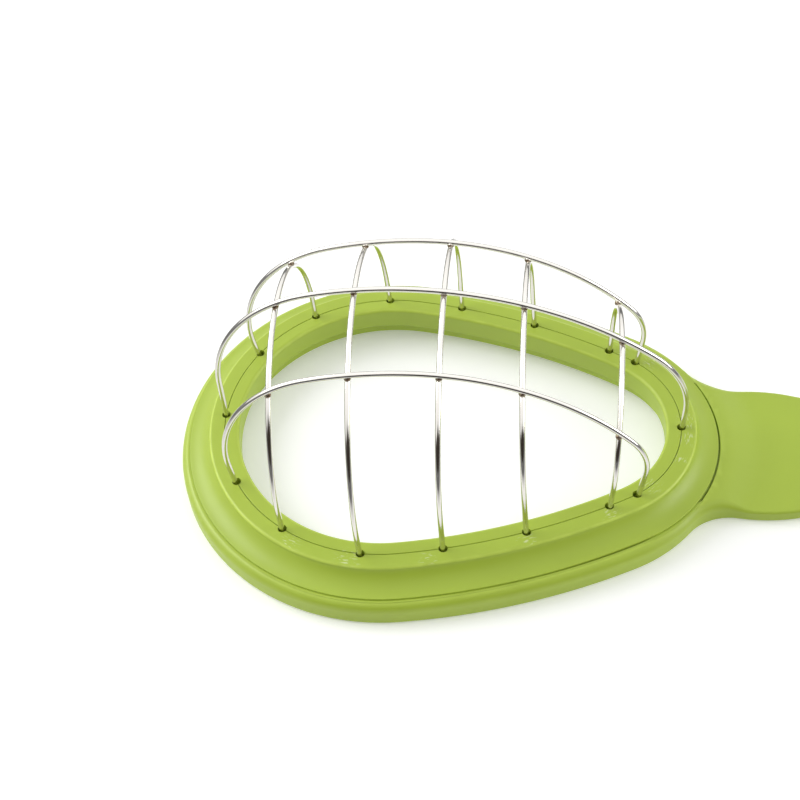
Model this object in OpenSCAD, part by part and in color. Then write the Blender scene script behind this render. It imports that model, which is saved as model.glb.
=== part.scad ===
// Wire-dome cutter for half fruit: an egg-shaped ring with a paddle handle
// carries a cage of eight bent wires. The fruit is pushed up through the ring,
// the wires cut its flesh into cubes and the ring's inner lip scoops it out.
// +X runs from the fat end to the handle, +Z is up, and the underside is at Z = 0.
// The origin is the middle of the footprint. Every ring follows one egg outline
// of four tangent arcs, and an offset of that outline keeps its arc centres.

/* [Overall] */
// Length over all, from the fat end to the handle's end
overall_length = 200; // [185:1:245]
// Height of the rings' top face, where the wires go in
ring_top_z = 9.7; // [8.8:0.1:12]

/* [Wire seam outline] */
// Radius of the seam's fat end, which is half its width
seam_r = 33.4; // [30:0.1:38]
// Radius of the seam's narrow end
seam_tip_r = 20.7; // [18:0.1:24]
// Radius of the seam's long sides
seam_side_r = 128.6; // [110:0.1:160]
// Distance between the centres of the seam's two ends
seam_centres = 38.9; // [34:0.1:46]

/* [Rings] */
// Width of the inner ring's top face, from the seam to the inner wall
inner_ring_w = 3; // [2.5:0.05:3.6]
// Rounding of the inner ring's lip
inner_lip_r = 0.8; // [0.4:0.1:1.2]
// Rounding of the inner ring's lower edge
inner_foot_r = 0.5; // [0.2:0.1:0.8]
// Width of the outer ring's top face, from the seam to its rim
outer_ring_w = 3.2; // [2.8:0.05:4]
// Rounding of the outer ring's lip
outer_lip_r = 0.6; // [0.3:0.1:0.9]
// Height of the outer ring's upright lip, above its hollow side
lip_h = 0.85; // [0.7:0.05:1.2]
// Radius of the hollow side of the outer ring
cove_r = 5.7; // [4.5:0.1:8]
// Distance from the seam to the outer ring's foot
foot_offset = 7.7; // [7:0.05:8.2]
// Height of the outer ring's top at its foot
foot_z = 5.6; // [5:0.1:5.6]
// Gap between the two rings along the seam
seam_gap = 0.1; // [0.06:0.02:0.2]
// Visible groove between the outer ring's foot and the frame
groove_w = 0.25; // [0.15:0.05:0.4]

/* [Handle frame] */
// Radius of the flange at the fat end, which is half its width
flange_r = 43; // [42.8:0.1:50]
// Radius of the flange at its narrow end
flange_tip_r = 31.9; // [31.4:0.1:36]
// Radius of the flange's long sides
flange_side_r = 138.5; // [125:0.5:170]
// Distance between the centres of the flange's two ends
flange_centres = 36.2; // [35:0.1:42]
// Height of the flange's top face
frame_top_z = 5.7; // [5.2:0.1:6.2]
// Height of the shelf on which both rings sit
shelf_z = 4.6; // [4.2:0.1:4.8]
// Underside of the plate, above the hollow under the frame
plate_z = 1.8; // [1.4:0.1:2]
// Thickness of the rim that runs round the frame
rim_w = 2.4; // [2:0.1:3]
// Rounding of the frame's upper edge
top_edge_r = 2; // [1:0.1:2.2]
// Rounding of the frame's lower edge
low_edge_r = 0.8; // [0.4:0.1:1]
// How far the shelf reaches under the inner ring
shelf_lap = 1.6; // [1.2:0.1:2]

/* [Handle] */
// Half width of the handle just past the neck
shoulder_half_w = 15.8; // [15:0.1:19]
// Radius of the handle's sides just past the neck
shoulder_r = 34; // [30:1:40]
// Distance from the fat end's centre to the handle's widest place by the neck
shoulder_x = 75.5; // [75:0.1:84]
// Radius of the hollow between the flange and the handle
neck_r = 10.5; // [9:0.5:15]
// Radius of the handle's slim middle
waist_r = 130; // [110:5:200]
// Radius of the handle's rounded end
end_r = 14.5; // [13:0.5:17]
// Radius of the hole to hang it by
hang_hole_r = 3.5; // [2:0.1:4]
// Wall round the hanging hole, under the plate
hang_boss_w = 2.6; // [2:0.1:3.5]
// Height of the handle's top face, which is lower than the flange
handle_top_z = 3; // [2.8:0.1:3.8]
// Distance from the groove to the slope that leads down to the handle
slope_start = 2; // [1.8:0.1:3]
// Width of the slope
slope_w = 5.3; // [3:0.1:8]
// Number of ribs under the handle
rib_count = 4; // [2:1:6]
// Thickness of a rib
rib_w = 1.6; // [1.2:0.1:2]
// Clearance under the ribs
rib_lift = 0.6; // [0.3:0.1:1]

/* [Wires] */
// Wire diameter
wire_d = 1.1; // [0.9:0.05:1.3]
// Diameter of the holes in the seam
hole_d = 1.8; // [1.75:0.05:2.2]
// Space left between crossing wires for the weld
weld_gap = 0.03; // [0.02:0.01:0.08]
// Diameter of a weld bead
bead_d = 1.6; // [1.4:0.05:1.9]
// Bend radius at a wire's foot
foot_bend_r = 1.1; // [0.9:0.1:1.3]
// Straight toe past the bend
toe_len = 1.1; // [0.8:0.1:1.6]
// Clearance round a foot in its pocket
foot_gap = 0.05; // [0.02:0.01:0.1]

/* [Long wires] */
// Height of the middle long wire over the seam
middle_rise = 38.4; // [34:0.1:44]
// Distance of the outer long wires from the middle
outer_y = 17.1; // [15:0.1:18.5]
// How much lower the outer long wires are than the middle one
outer_drop = 4.2; // [0:0.1:8]
// Distance from the fat end's centre to the middle long wire's top
middle_apex = 5; // [2:0.1:9]
// Distance from the fat end's centre to the outer long wires' top
outer_apex = 7.4; // [4:0.1:11]

/* [Cross wires] */
// Distance from the fat end's centre to the first cross wire
first_cross_x = -18; // [-20:0.1:-15]
// Spacing of the cross wires
cross_pitch = 15.8; // [14:0.01:16.2]

/* [Joints between the mouldings] */
// Radius of the pegs under the outer ring
peg_r = 1.2; // [0.8:0.1:1.4]
// Clearance of a peg in its hole
peg_gap = 0.04; // [0.02:0.01:0.1]
// Distance of the pegs from the seam
peg_offset = 5.4; // [5:0.1:5.8]

/* [Hidden] */

$fn = 96;
lime = "#a9c24a";
steel = "#c9cbcd";
overlap = 0.5;

// X of the fat end's centre, which every ring shares
fat_x = flange_r - overall_length / 2;
// Each sweep is cut just short of the next one, and a collar of the same section,
// a hair larger, joins the two
trim = 0.01;
collar_w = 0.12;
proud = 0.01;
// Depth of a wire's toe under the rings' top face, and width of the slot it lies in
toe_depth = ring_top_z - shelf_z - wire_d / 2 - foot_gap;
slot_w = wire_d + 0.5;
// Centre of the outer ring's hollow side, which runs from under the lip to the foot
cove_c = arc_centre([outer_ring_w, ring_top_z - lip_h], [foot_offset, foot_z], cove_r);

outer_rise = middle_rise - outer_drop;
// Long wires: [y, apex, rise, [top radius, top angle, tuck] to the fat end, the same to the handle]
MIDDLE = [0, middle_apex, middle_rise, [74, 14.3, 0], [75, 40, 3]];
FRONT = [-outer_y, outer_apex, outer_rise, [70, 16, 7], [56.6, 47, 8]];
BACK = [outer_y, outer_apex, outer_rise, [70, 16, 7], [56.6, 47, 8]];
LONG = [FRONT, MIDDLE, BACK];
// Lean of each cross wire's plane, and how far its legs tuck in, in degrees
CROSS_LEAN = [-2, -2.4, -0.8, -2.2, 3];
CROSS_TUCK = [0, 0, 1.5, 2, 5];
CROSS_X = [for (i = [0:4]) first_cross_x + i * cross_pitch];
// Angles round the ring at which the pegs stand, from the fat end's centre
PEG_ANGLES = [105, 150, -150, -105];
// How far the slope reaches to each side of the axis, in degrees
slope_angle = 58;

// ---- egg outline -------------------------------------------------------

// Centre of a circle of radius r through p and q, above and beyond them
function arc_centre(p, q, r) =
    let (d = q - p, l = norm(d), u = d / l)
    (p + q) / 2 + sqrt(r * r - l * l / 4) * [-u[1], u[0]];

// Centre of the long side above the axis: it lies below, tangent to both ends
function side_centre(r, tip_r, side_r, c) =
    let (a = side_r - r, b = side_r - tip_r, x = (a * a - b * b + c * c) / (2 * c))
    [x, -sqrt(a * a - x * x)];

// Arcs of an egg: [centre x, centre y, radius, start angle, sweep, side], side 1 for convex
function egg_arcs(r, tip_r, side_r, c) =
    let (s = side_centre(r, tip_r, side_r, c),
        fat = atan2(-s[1], -s[0]),
        tip = atan2(-s[1], c - s[0]))
    [[s[0], s[1], side_r, tip, fat - tip, 1],
     [0, 0, r, fat, 360 - 2 * fat, 1],
     [s[0], -s[1], side_r, -fat, fat - tip, 1],
     [c, 0, tip_r, -tip, 2 * tip, 1]];

SEAM = egg_arcs(seam_r, seam_tip_r, seam_side_r, seam_centres);

// Half width of the seam at a distance x from the fat end's centre
function seam_y(x) =
    let (s = SEAM[0], join = seam_r * cos(SEAM[1][3]), end = seam_centres + seam_tip_r * cos(s[3]))
    x < join ? sqrt(seam_r * seam_r - x * x)
    : x < end ? s[1] + sqrt(s[2] * s[2] - (x - s[0]) * (x - s[0]))
    : sqrt(seam_tip_r * seam_tip_r - (x - seam_centres) * (x - seam_centres));

// Ends of the seam at a distance y from the axis, at the fat end and at the tip
function seam_fat_x(y) = -sqrt(seam_r * seam_r - y * y);
function seam_tip_x(y) = seam_centres + sqrt(seam_tip_r * seam_tip_r - y * y);

// Points of an outline of arcs, moved outwards by d
function outline_points(arcs, d) =
    [for (a = arcs)
        let (r = a[2] + a[5] * d, n = ceil(abs(a[4]) / (2 * acos(1 - 0.02 / r))))
        for (i = [0:n - 1])
            let (t = a[3] + a[4] * (a[5] > 0 ? i : n - i) / n)
            [a[0] + r * cos(t), a[1] + r * sin(t)]];

// Sweeps a profile round the arcs: its X is the offset outwards and its Y is the height.
// The first child is the profile and the second is the same profile, a hair larger
module sweep(arcs) {
    for (a = arcs) {
        e = trim / a[2] * 180 / PI;
        translate([fat_x + a[0], a[1], 0])
            rotate_extrude(angle = a[4] - 2 * e, start = a[3] + e, $fn = 180)
                translate([a[2], 0])
                    mirror([a[5] > 0 ? 0 : 1, 0])
                        children(0);
        translate([fat_x + a[0], a[1], 0])
            rotate([90, 0, a[5] > 0 ? a[3] + a[4] : a[3]])
                linear_extrude(collar_w, center = true)
                    translate([a[2], 0])
                        mirror([a[5] > 0 ? 0 : 1, 0])
                            children(1);
    }
}

// Upright rectangle between two offsets and two heights
module band(u0, u1, z0, z1) {
    translate([u0, z0])
        square([u1 - u0, z1 - z0]);
}

// Flat-topped solid inside an outline of arcs moved outwards by d
module slab(arcs, d, z0, z1) {
    translate([fat_x, 0, z0])
        linear_extrude(z1 - z0)
            polygon(outline_points(arcs, d));
}

// ---- frame outline -----------------------------------------------------

// Centre of a circle that touches two others from outside, on the upper side
function outer_tangent(c1, r1, c2, r2) =
    let (d = norm(c2 - c1), x = (r1 * r1 - r2 * r2 + d * d) / (2 * d),
        y = sqrt(r1 * r1 - x * x), u = (c2 - c1) / d)
    c1 + x * u + y * [-u[1], u[0]];

end_x = overall_length - flange_r - end_r;
tip_c = [flange_centres, 0];
shoulder_c = [shoulder_x, shoulder_half_w - shoulder_r];
end_c = [end_x, 0];
neck_c = outer_tangent(tip_c, flange_tip_r + neck_r, shoulder_c, shoulder_r + neck_r);
waist_c = outer_tangent(shoulder_c, shoulder_r + waist_r, end_c, end_r + waist_r);
function heading(from, to) = atan2(to[1] - from[1], to[0] - from[0]);
neck_a = heading(tip_c, neck_c);
neck_b = heading(shoulder_c, neck_c);
waist_a = heading(shoulder_c, waist_c);
waist_b = heading(end_c, waist_c);
FLANGE = egg_arcs(flange_r, flange_tip_r, flange_side_r, flange_centres);
flange_tip_a = FLANGE[3][4] / 2;

// Arcs above the axis, from the handle's end round to the flange's side
UPPER = [
    [waist_c[0], waist_c[1], waist_r, waist_a + 180, waist_b - waist_a, -1],
    [shoulder_c[0], shoulder_c[1], shoulder_r, waist_a, neck_b - waist_a, 1],
    [neck_c[0], neck_c[1], neck_r, neck_a + 180, neck_b - neck_a, -1],
    [tip_c[0], tip_c[1], flange_tip_r, neck_a, flange_tip_a - neck_a, 1],
    FLANGE[0]];
function flipped(a) = [a[0], -a[1], a[2], -a[3] - a[4], a[4], a[5]];
FRAME = concat(
    [[end_x, 0, end_r, -waist_b, 2 * waist_b, 1]],
    UPPER,
    [FLANGE[1]],
    [for (i = [len(UPPER) - 1:-1:0]) flipped(UPPER[i])]);

// ---- mouldings ---------------------------------------------------------

// Places its children on the seam at each wire's foot, with +X pointing along the wire's toe
module at_feet() {
    for (x = CROSS_X, s = [1, -1])
        translate([fat_x + x, s * seam_y(x), 0])
            rotate([0, 0, 90 * s])
                children();
    for (w = LONG) {
        translate([fat_x + seam_tip_x(w[0]), w[0], 0])
            children();
        translate([fat_x + seam_fat_x(w[0]), w[0], 0])
            rotate([0, 0, 180])
                children();
    }
}

// Places its children where the pegs of the outer ring stand
module at_pegs() {
    for (a = PEG_ANGLES)
        translate([fat_x, 0, 0])
            rotate([0, 0, a])
                translate([seam_r + peg_offset, 0, 0])
                    children();
    for (s = [1, -1])
        translate([fat_x + seam_centres, 0, 0])
            rotate([0, 0, s * 40])
                translate([seam_tip_r + peg_offset, 0, 0])
                    children();
}

// Section of the frame's rim, grown by g
module rim_section(g = 0) {
    difference() {
        band(-rim_w - g, g, -g, frame_top_z + g);
        corner_cut(g, frame_top_z + g, top_edge_r + g, 1);
        corner_cut(g, -g, low_edge_r + g, -1);
    }
}

// What a rounding of radius r takes from an outer corner at (u, z); up is 1 at the top, -1 below
module corner_cut(u, z, r, up) {
    difference() {
        translate([u - r, up > 0 ? z - r : z - overlap])
            square([r + overlap, r + overlap]);
        translate([u - r, z - up * r])
            circle(r);
    }
}

module handle_frame() {
    color(lime)
        difference() {
            union() {
                sweep(FRAME) {
                    rim_section();
                    rim_section(proud);
                }
                slab(FRAME, -rim_w / 2 - 0.7, plate_z, frame_top_z - proud);
                ribs();
                hang_boss();
            }
            slab(SEAM, -shelf_lap, -1, ring_top_z);
            slab(SEAM, foot_offset + groove_w, shelf_z, ring_top_z);
            at_pegs()
                translate([0, 0, plate_z - 1])
                    cylinder(r = peg_r + peg_gap, h = shelf_z - plate_z + 2);
            translate([fat_x + end_x, 0, -1])
                cylinder(r = hang_hole_r, h = frame_top_z + 2);
            above_handle();
        }
}

// Space above the slope and the handle, round the centre of the seam's narrow end
module above_handle() {
    start_r = seam_tip_r + foot_offset + groove_w + slope_start;
    translate([fat_x + seam_centres, 0, 0])
        rotate_extrude(angle = 2 * slope_angle, start = -slope_angle)
            polygon([[start_r, frame_top_z], [start_r + slope_w, handle_top_z], [overall_length, handle_top_z],
                [overall_length, 2 * frame_top_z], [start_r, 2 * frame_top_z]]);
}

// Ribs across the hollow under the handle
module ribs() {
    first = shoulder_x + 6;
    last = end_x - hang_hole_r - hang_boss_w - 4;
    intersection() {
        slab(FRAME, -rim_w / 2, rib_lift, plate_z + overlap);
        for (i = [0:rib_count - 1])
            translate([fat_x + first + (last - first) * i / (rib_count - 1) - rib_w / 2, -shoulder_half_w - 2, 0])
                cube([rib_w, 2 * shoulder_half_w + 4, handle_top_z]);
    }
}

// Wall round the hanging hole
module hang_boss() {
    translate([fat_x + end_x, 0, 0])
        cylinder(r = hang_hole_r + hang_boss_w, h = handle_top_z - overlap);
}

module outer_ring_section(g = 0) {
    difference() {
        band(seam_gap / 2 - g, foot_offset + g, shelf_z + g, ring_top_z + g);
        corner_cut(outer_ring_w + g, ring_top_z + g, outer_lip_r + g, 1);
        intersection() {
            translate(cove_c)
                circle(cove_r - g);
            band(outer_ring_w + g, foot_offset + 1, shelf_z, ring_top_z + 1);
        }
    }
}

module outer_ring() {
    color(lime) {
        difference() {
            sweep(SEAM) {
                outer_ring_section();
                outer_ring_section(proud);
            }
            at_feet()
                foot_pocket();
        }
        at_pegs()
            translate([0, 0, plate_z])
                cylinder(r = peg_r, h = shelf_z - plate_z + overlap);
    }
}

// Hole for a wire and, below it, the slot that takes its bent foot
module foot_pocket() {
    translate([0, 0, shelf_z - 1])
        cylinder(d = hole_d, h = ring_top_z - shelf_z + 2);
    translate([0, -slot_w / 2, shelf_z - 1])
        cube([foot_bend_r + toe_len + wire_d, slot_w, wire_d + foot_bend_r + 1]);
}

module inner_ring_section(g = 0) {
    mirror([1, 0])
        difference() {
            band(seam_gap / 2 - g, inner_ring_w + g, shelf_z + g, ring_top_z + g);
            corner_cut(inner_ring_w + g, ring_top_z + g, inner_lip_r + g, 1);
            corner_cut(inner_ring_w + g, shelf_z - g, inner_foot_r + g, -1);
        }
}

module inner_ring() {
    color(lime)
        difference() {
            sweep(SEAM) {
                inner_ring_section();
                inner_ring_section(proud);
            }
            at_feet()
                translate([0, 0, shelf_z - 1])
                    cylinder(d = hole_d, h = ring_top_z - shelf_z + 2);
        }
}

// ---- wires -------------------------------------------------------------

// Shoulder radius and leg length of a half wire that starts level at the given rise, follows
// a top arc of radius r through an angle a, turns down to a tuck t and meets the seam at reach
function half_wire(reach, rise, r, a, t) =
    let (y = reach - r * sin(a), z = rise - r * (1 - cos(a)),
        det = (cos(t) - sin(a)) * cos(t) + sin(t) * (cos(a) + sin(t)))
    [(y * cos(t) + z * sin(t)) / det,
     (z * (cos(t) - sin(a)) - y * (cos(a) + sin(t))) / det];

// How far a leg that leans by t stands off the hole's middle at the top face
function leg_shift(t) = toe_depth / 2 * tan(t);

// X of a cross wire's plane at a height s up its lean, from the fat end's centre
function cross_x(i, s) = CROSS_X[i] + leg_shift(CROSS_LEAN[i]) + s * sin(CROSS_LEAN[i]);

// Reach of a long wire from its apex to a hole, on side s: 0 to the fat end, 1 to the handle
function long_reach(w, s) =
    (s == 0 ? w[1] - seam_fat_x(w[0]) : seam_tip_x(w[0]) - w[1]) + leg_shift(w[3 + s][2]);

// Height over the seam, and slope, of a long wire at a distance x from the fat end's centre
function long_at(w, x) =
    let (s = x < w[1] ? 0 : 1, h = w[3 + s], d = abs(x - w[1]),
        shoulder = half_wire(long_reach(w, s), w[2], h[0], h[1], h[2])[0],
        top = d <= h[0] * sin(h[1]),
        r = top ? h[0] : shoulder,
        cx = top ? 0 : (h[0] - shoulder) * sin(h[1]),
        cz = w[2] - h[0] + (top ? 0 : (h[0] - shoulder) * cos(h[1])))
    [cz + sqrt(r * r - (d - cx) * (d - cx)), asin((d - cx) / r)];

// Drop between the axes of two crossing wires that slope by a and b and nearly touch
function wire_drop(a, b) =
    (wire_d + weld_gap) * sqrt(pow(cos(b), 2) + pow(cos(a) * sin(b), 2)) / (cos(a) * cos(b));

// Height up a cross wire's leaning plane at which it passes under a long wire
function height_under(w, i, b, s, n = 6) =
    n == 0 ? s
    : let (p = long_at(w, cross_x(i, s)))
        height_under(w, i, b, (p[0] - wire_drop(p[1], b)) / cos(CROSS_LEAN[i]), n - 1);

// Crown radius of a cross wire that passes under all three long wires
function crown(i, b = 30, n = 6) =
    let (top = height_under(MIDDLE, i, 0, middle_rise),
        side = height_under(BACK, i, b, outer_rise),
        r = (outer_y * outer_y + pow(top - side, 2)) / (2 * (top - side)))
    n == 0 ? [top, r] : crown(i, asin(outer_y / r), n - 1);

CROWNS = [for (i = [0:4]) crown(i)];

// Angle of a crown's arc from its top, which ends just past the outer crossings
function crown_angle(r) = asin((outer_y + bead_d / 2 + 0.1) / r);

// Arc of wire in the XZ plane, cut just short at both ends
module wire_arc(c, r, from, to) {
    e = trim / r * 180 / PI;
    translate([c[0], 0, c[1]])
        rotate([90, 0, 0])
            rotate_extrude(angle = to - from - 2 * e, start = from + e, $fn = 360)
                translate([r, 0])
                    circle(d = wire_d, $fn = 36);
}

// Straight wire in the XZ plane, cut just short at both ends
module wire_line(p, q) {
    d = q - p;
    translate([p[0], 0, p[1]])
        rotate([0, 90 - atan2(d[1], d[0]), 0])
            translate([0, 0, trim])
                cylinder(d = wire_d, h = norm(d) - 2 * trim, $fn = 36);
}

// Collar that joins two lengths of wire at p, where the wire runs at an angle a to X
module wire_collar(p, a) {
    translate([p[0], 0, p[1]])
        rotate([0, 90 - a, 0])
            cylinder(d = wire_d + 2 * proud, h = collar_w, center = true, $fn = 36);
}

// Side of a bent wire in its own plane, from where its crown ends down to its foot.
// Its origin is on the seam's top face under the crown's top
module bent_side(reach, rise, r, a, t) {
    solved = half_wire(reach, rise, r, a, t);
    shoulder = solved[0];
    shoulder_at = [0, rise - r] + (r - shoulder) * [sin(a), cos(a)];
    crown_end = [0, rise - r] + r * [sin(a), cos(a)];
    leg_top = shoulder_at + shoulder * [cos(t), -sin(t)];
    knee_z = -toe_depth + foot_bend_r * (1 + sin(t));
    knee = [leg_top[0] - (leg_top[1] - knee_z) * tan(t), knee_z];
    bend_at = knee + foot_bend_r * [cos(t), -sin(t)];
    toe = bend_at - [0, foot_bend_r];
    wire_collar(crown_end, -a);
    wire_arc(shoulder_at, shoulder, -t, 90 - a);
    wire_collar(leg_top, -90 - t);
    wire_line(leg_top, knee);
    wire_collar(knee, -90 - t);
    wire_arc(bend_at, foot_bend_r, 180 - t, 270);
    wire_collar(toe, 0);
    wire_line(toe, toe + [toe_len, 0]);
}

// Crown arc of a bent wire on one side of its top, or on both
module crown_arc(rise, r, from, to) {
    wire_arc([0, rise - r], r, 90 - to, 90 - from);
}

// The two crown arcs of a long wire
module long_crown(w) {
    translate([fat_x + w[1], w[0], ring_top_z]) {
        crown_arc(w[2], w[4][0], 0, w[4][1]);
        crown_arc(w[2], w[3][0], -w[3][1], 0);
    }
}

module long_wire(w) {
    color(steel) {
        long_crown(w);
        translate([fat_x + w[1], w[0], ring_top_z]) {
            wire_collar([0, w[2]], 0);
            bent_side(long_reach(w, 1), w[2], w[4][0], w[4][1], w[4][2]);
            mirror([1, 0, 0])
                bent_side(long_reach(w, 0), w[2], w[3][0], w[3][1], w[3][2]);
        }
    }
}

// Puts its children in the leaning plane of a cross wire, which is their XZ plane
module in_cross_plane(i) {
    translate([fat_x + cross_x(i, 0), 0, ring_top_z])
        rotate([0, CROSS_LEAN[i], 0])
            rotate([0, 0, 90])
                children();
}

module cross_wire(i) {
    reach = seam_y(CROSS_X[i]) + leg_shift(CROSS_TUCK[i]);
    r = CROWNS[i][1];
    a = crown_angle(r);
    color(steel)
        in_cross_plane(i) {
            crown_arc(CROWNS[i][0], r, -a, a);
            for (s = [0, 1])
                mirror([s, 0, 0])
                    bent_side(reach, CROWNS[i][0], r, a, CROSS_TUCK[i]);
        }
}

// Beads of weld metal at the crossings under one long wire
module weld_beads(w) {
    color(steel)
        for (i = [0:4])
            difference() {
                bead(w, i);
                bead_groove(w, i);
                in_cross_plane(i)
                    crown_arc(CROWNS[i][0], CROWNS[i][1], -crown_angle(CROWNS[i][1]), crown_angle(CROWNS[i][1]));
            }
}

// What the long wire takes from a bead: its crown, or its shoulder on the fat side
module bead_groove(w, i) {
    h = w[3];
    shoulder = half_wire(long_reach(w, 0), w[2], h[0], h[1], h[2])[0];
    if (CROSS_X[i] > w[1] - h[0] * sin(h[1]))
        long_crown(w);
    else
        translate([fat_x + w[1], w[0], ring_top_z])
            mirror([1, 0, 0])
                wire_arc([0, w[2] - h[0]] + (h[0] - shoulder) * [sin(h[1]), cos(h[1])], shoulder, -h[2], 90 - h[1]);
}

module bead(w, i) {
    b = w[0] == 0 ? 0 : asin(outer_y / CROWNS[i][1]);
    h = height_under(w, i, b, w[2]);
    p = long_at(w, cross_x(i, h));
    translate([fat_x + cross_x(i, h), w[0], ring_top_z + (h * cos(CROSS_LEAN[i]) + p[0]) / 2])
        sphere(d = bead_d, $fn = 64);
}

handle_frame();
outer_ring();
inner_ring();
long_wire(FRONT);  // long_wire_front
long_wire(MIDDLE);  // long_wire_middle
long_wire(BACK);  // long_wire_back
cross_wire(0);  // cross_wire_1
cross_wire(1);  // cross_wire_2
cross_wire(2);  // cross_wire_3
cross_wire(3);  // cross_wire_4
cross_wire(4);  // cross_wire_5
weld_beads(FRONT);  // weld_beads_front
weld_beads(MIDDLE);  // weld_beads_middle
weld_beads(BACK);  // weld_beads_back
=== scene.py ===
"""A wire-dome cuber for half fruit: an egg-shaped ring on a paddle handle, with a cage of bent steel wires.

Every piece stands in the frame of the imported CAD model, in metres: +X runs from the fat end to the
handle, +Z is up, and the underside is at Z = 0. Sizes in the classes are in millimetres and angles in
degrees. They follow the CAD model, and differ from it by up to 0.3 mm at the groove round the ring.
"""

from __future__ import annotations

import logging
import math
from dataclasses import dataclass, field
from enum import Enum
from typing import Callable, Sequence

import bmesh
import bpy
from mathutils import Matrix, Vector
from mathutils.noise import noise as smooth_noise


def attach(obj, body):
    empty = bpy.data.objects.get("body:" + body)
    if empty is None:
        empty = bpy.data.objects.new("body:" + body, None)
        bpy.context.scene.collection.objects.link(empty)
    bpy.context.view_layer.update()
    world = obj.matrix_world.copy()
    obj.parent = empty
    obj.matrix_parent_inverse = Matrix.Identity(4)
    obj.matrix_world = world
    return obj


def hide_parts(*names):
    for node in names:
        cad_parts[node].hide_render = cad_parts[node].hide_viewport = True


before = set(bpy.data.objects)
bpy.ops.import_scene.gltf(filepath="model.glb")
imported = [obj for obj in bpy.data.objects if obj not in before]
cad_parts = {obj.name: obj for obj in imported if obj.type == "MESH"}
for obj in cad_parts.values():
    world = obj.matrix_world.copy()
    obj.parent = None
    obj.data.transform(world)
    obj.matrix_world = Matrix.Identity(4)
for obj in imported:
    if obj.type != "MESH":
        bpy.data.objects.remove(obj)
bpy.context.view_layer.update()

LOG = logging.getLogger("cuber")

Mesh = bmesh.types.BMesh
Edge = bmesh.types.BMEdge
Object = bpy.types.Object
Material = bpy.types.Material
Tree = bpy.types.NodeTree
Node = bpy.types.Node
Geometry = list
Triple = tuple[float, float, float]
RGBA = tuple[float, float, float, float]
Inputs = dict[str | int, object]

MM = 0.001
# Distances in metres under which points are one, or lie on a cutting plane
MERGE, SWEEP_MERGE, ON_PLANE = 1e-6, 2e-6, 1e-7
# Axes of a turn about the vertical, and of one from X towards Z
UP, BACKWARDS = (0, 0, 1), (0, -1, 0)
# Turns between faces in degrees from which an edge is shaded sharp
CREASE, WIRE_CREASE, BEAD_CREASE = 35.0, 50.0, 60.0
# Strength with which large faces hold the normals
FACE_WEIGHT = 80
# How many times longer than wide a scrape is
SCRAPE_STRETCH = 4.0


# ---- outlines ------------------------------------------------------------------------------


@dataclass(frozen=True)
class Arc:
    """One arc of an outline in the XY plane, walked anticlockwise round the outline.

    Args:
        x, y: Centre, from the fat end's centre.
        radius: Radius.
        start, end: Angles at which the walk enters and leaves the arc.
        convex: Whether the outline bulges outwards here.
    """

    x: float
    y: float
    radius: float
    start: float
    end: float
    convex: bool = True

    def flipped(self) -> Arc:
        """Returns the arc mirrored in the X axis, walked the other way."""
        return Arc(self.x, -self.y, self.radius, -self.end, -self.start, self.convex)


@dataclass(frozen=True)
class Egg:
    """An egg outline of four tangent arcs.

    Args:
        fat_r, tip_r, side_r: Radii of the fat end, the narrow end and the long sides.
        centres: Distance between the centres of the two ends.
    """

    fat_r: float
    tip_r: float
    side_r: float
    centres: float

    def side_centre(self) -> tuple[float, float]:
        """Works out where the upper long side has its centre.

        Returns:
            X and Y of the centre.
        """
        a, b = self.side_r - self.fat_r, self.side_r - self.tip_r
        x = (a * a - b * b + self.centres**2) / (2 * self.centres)
        return x, -math.sqrt(a * a - x * x)

    def arcs(self) -> list[Arc]:
        """Lists the arcs.

        Returns:
            The upper side, the fat end, the lower side and the narrow end.
        """
        x, y = self.side_centre()
        fat = math.degrees(math.atan2(-y, -x))
        tip = math.degrees(math.atan2(-y, self.centres - x))
        return [
            Arc(x, y, self.side_r, tip, fat),
            Arc(0, 0, self.fat_r, fat, 360 - fat),
            Arc(x, -y, self.side_r, -fat, -tip),
            Arc(self.centres, 0, self.tip_r, -tip, tip),
        ]

    def half_width(self, x: float) -> float:
        """Works out how wide the egg is.

        Args:
            x: Distance from the fat end's centre.

        Returns:
            Half the width there.
        """
        side = self.arcs()[0]
        join = self.fat_r * math.cos(math.radians(side.end))
        end = self.centres + self.tip_r * math.cos(math.radians(side.start))
        if x < join:
            return math.sqrt(self.fat_r**2 - x * x)
        if x < end:
            return side.y + math.sqrt(side.radius**2 - (x - side.x) ** 2)
        return math.sqrt(self.tip_r**2 - (x - self.centres) ** 2)

    def fat_x(self, y: float) -> float:
        """Returns X at the fat end, at a distance y from the axis."""
        return -math.sqrt(self.fat_r**2 - y * y)

    def tip_x(self, y: float) -> float:
        """Returns X at the narrow end, at a distance y from the axis."""
        return self.centres + math.sqrt(self.tip_r**2 - y * y)


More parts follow.
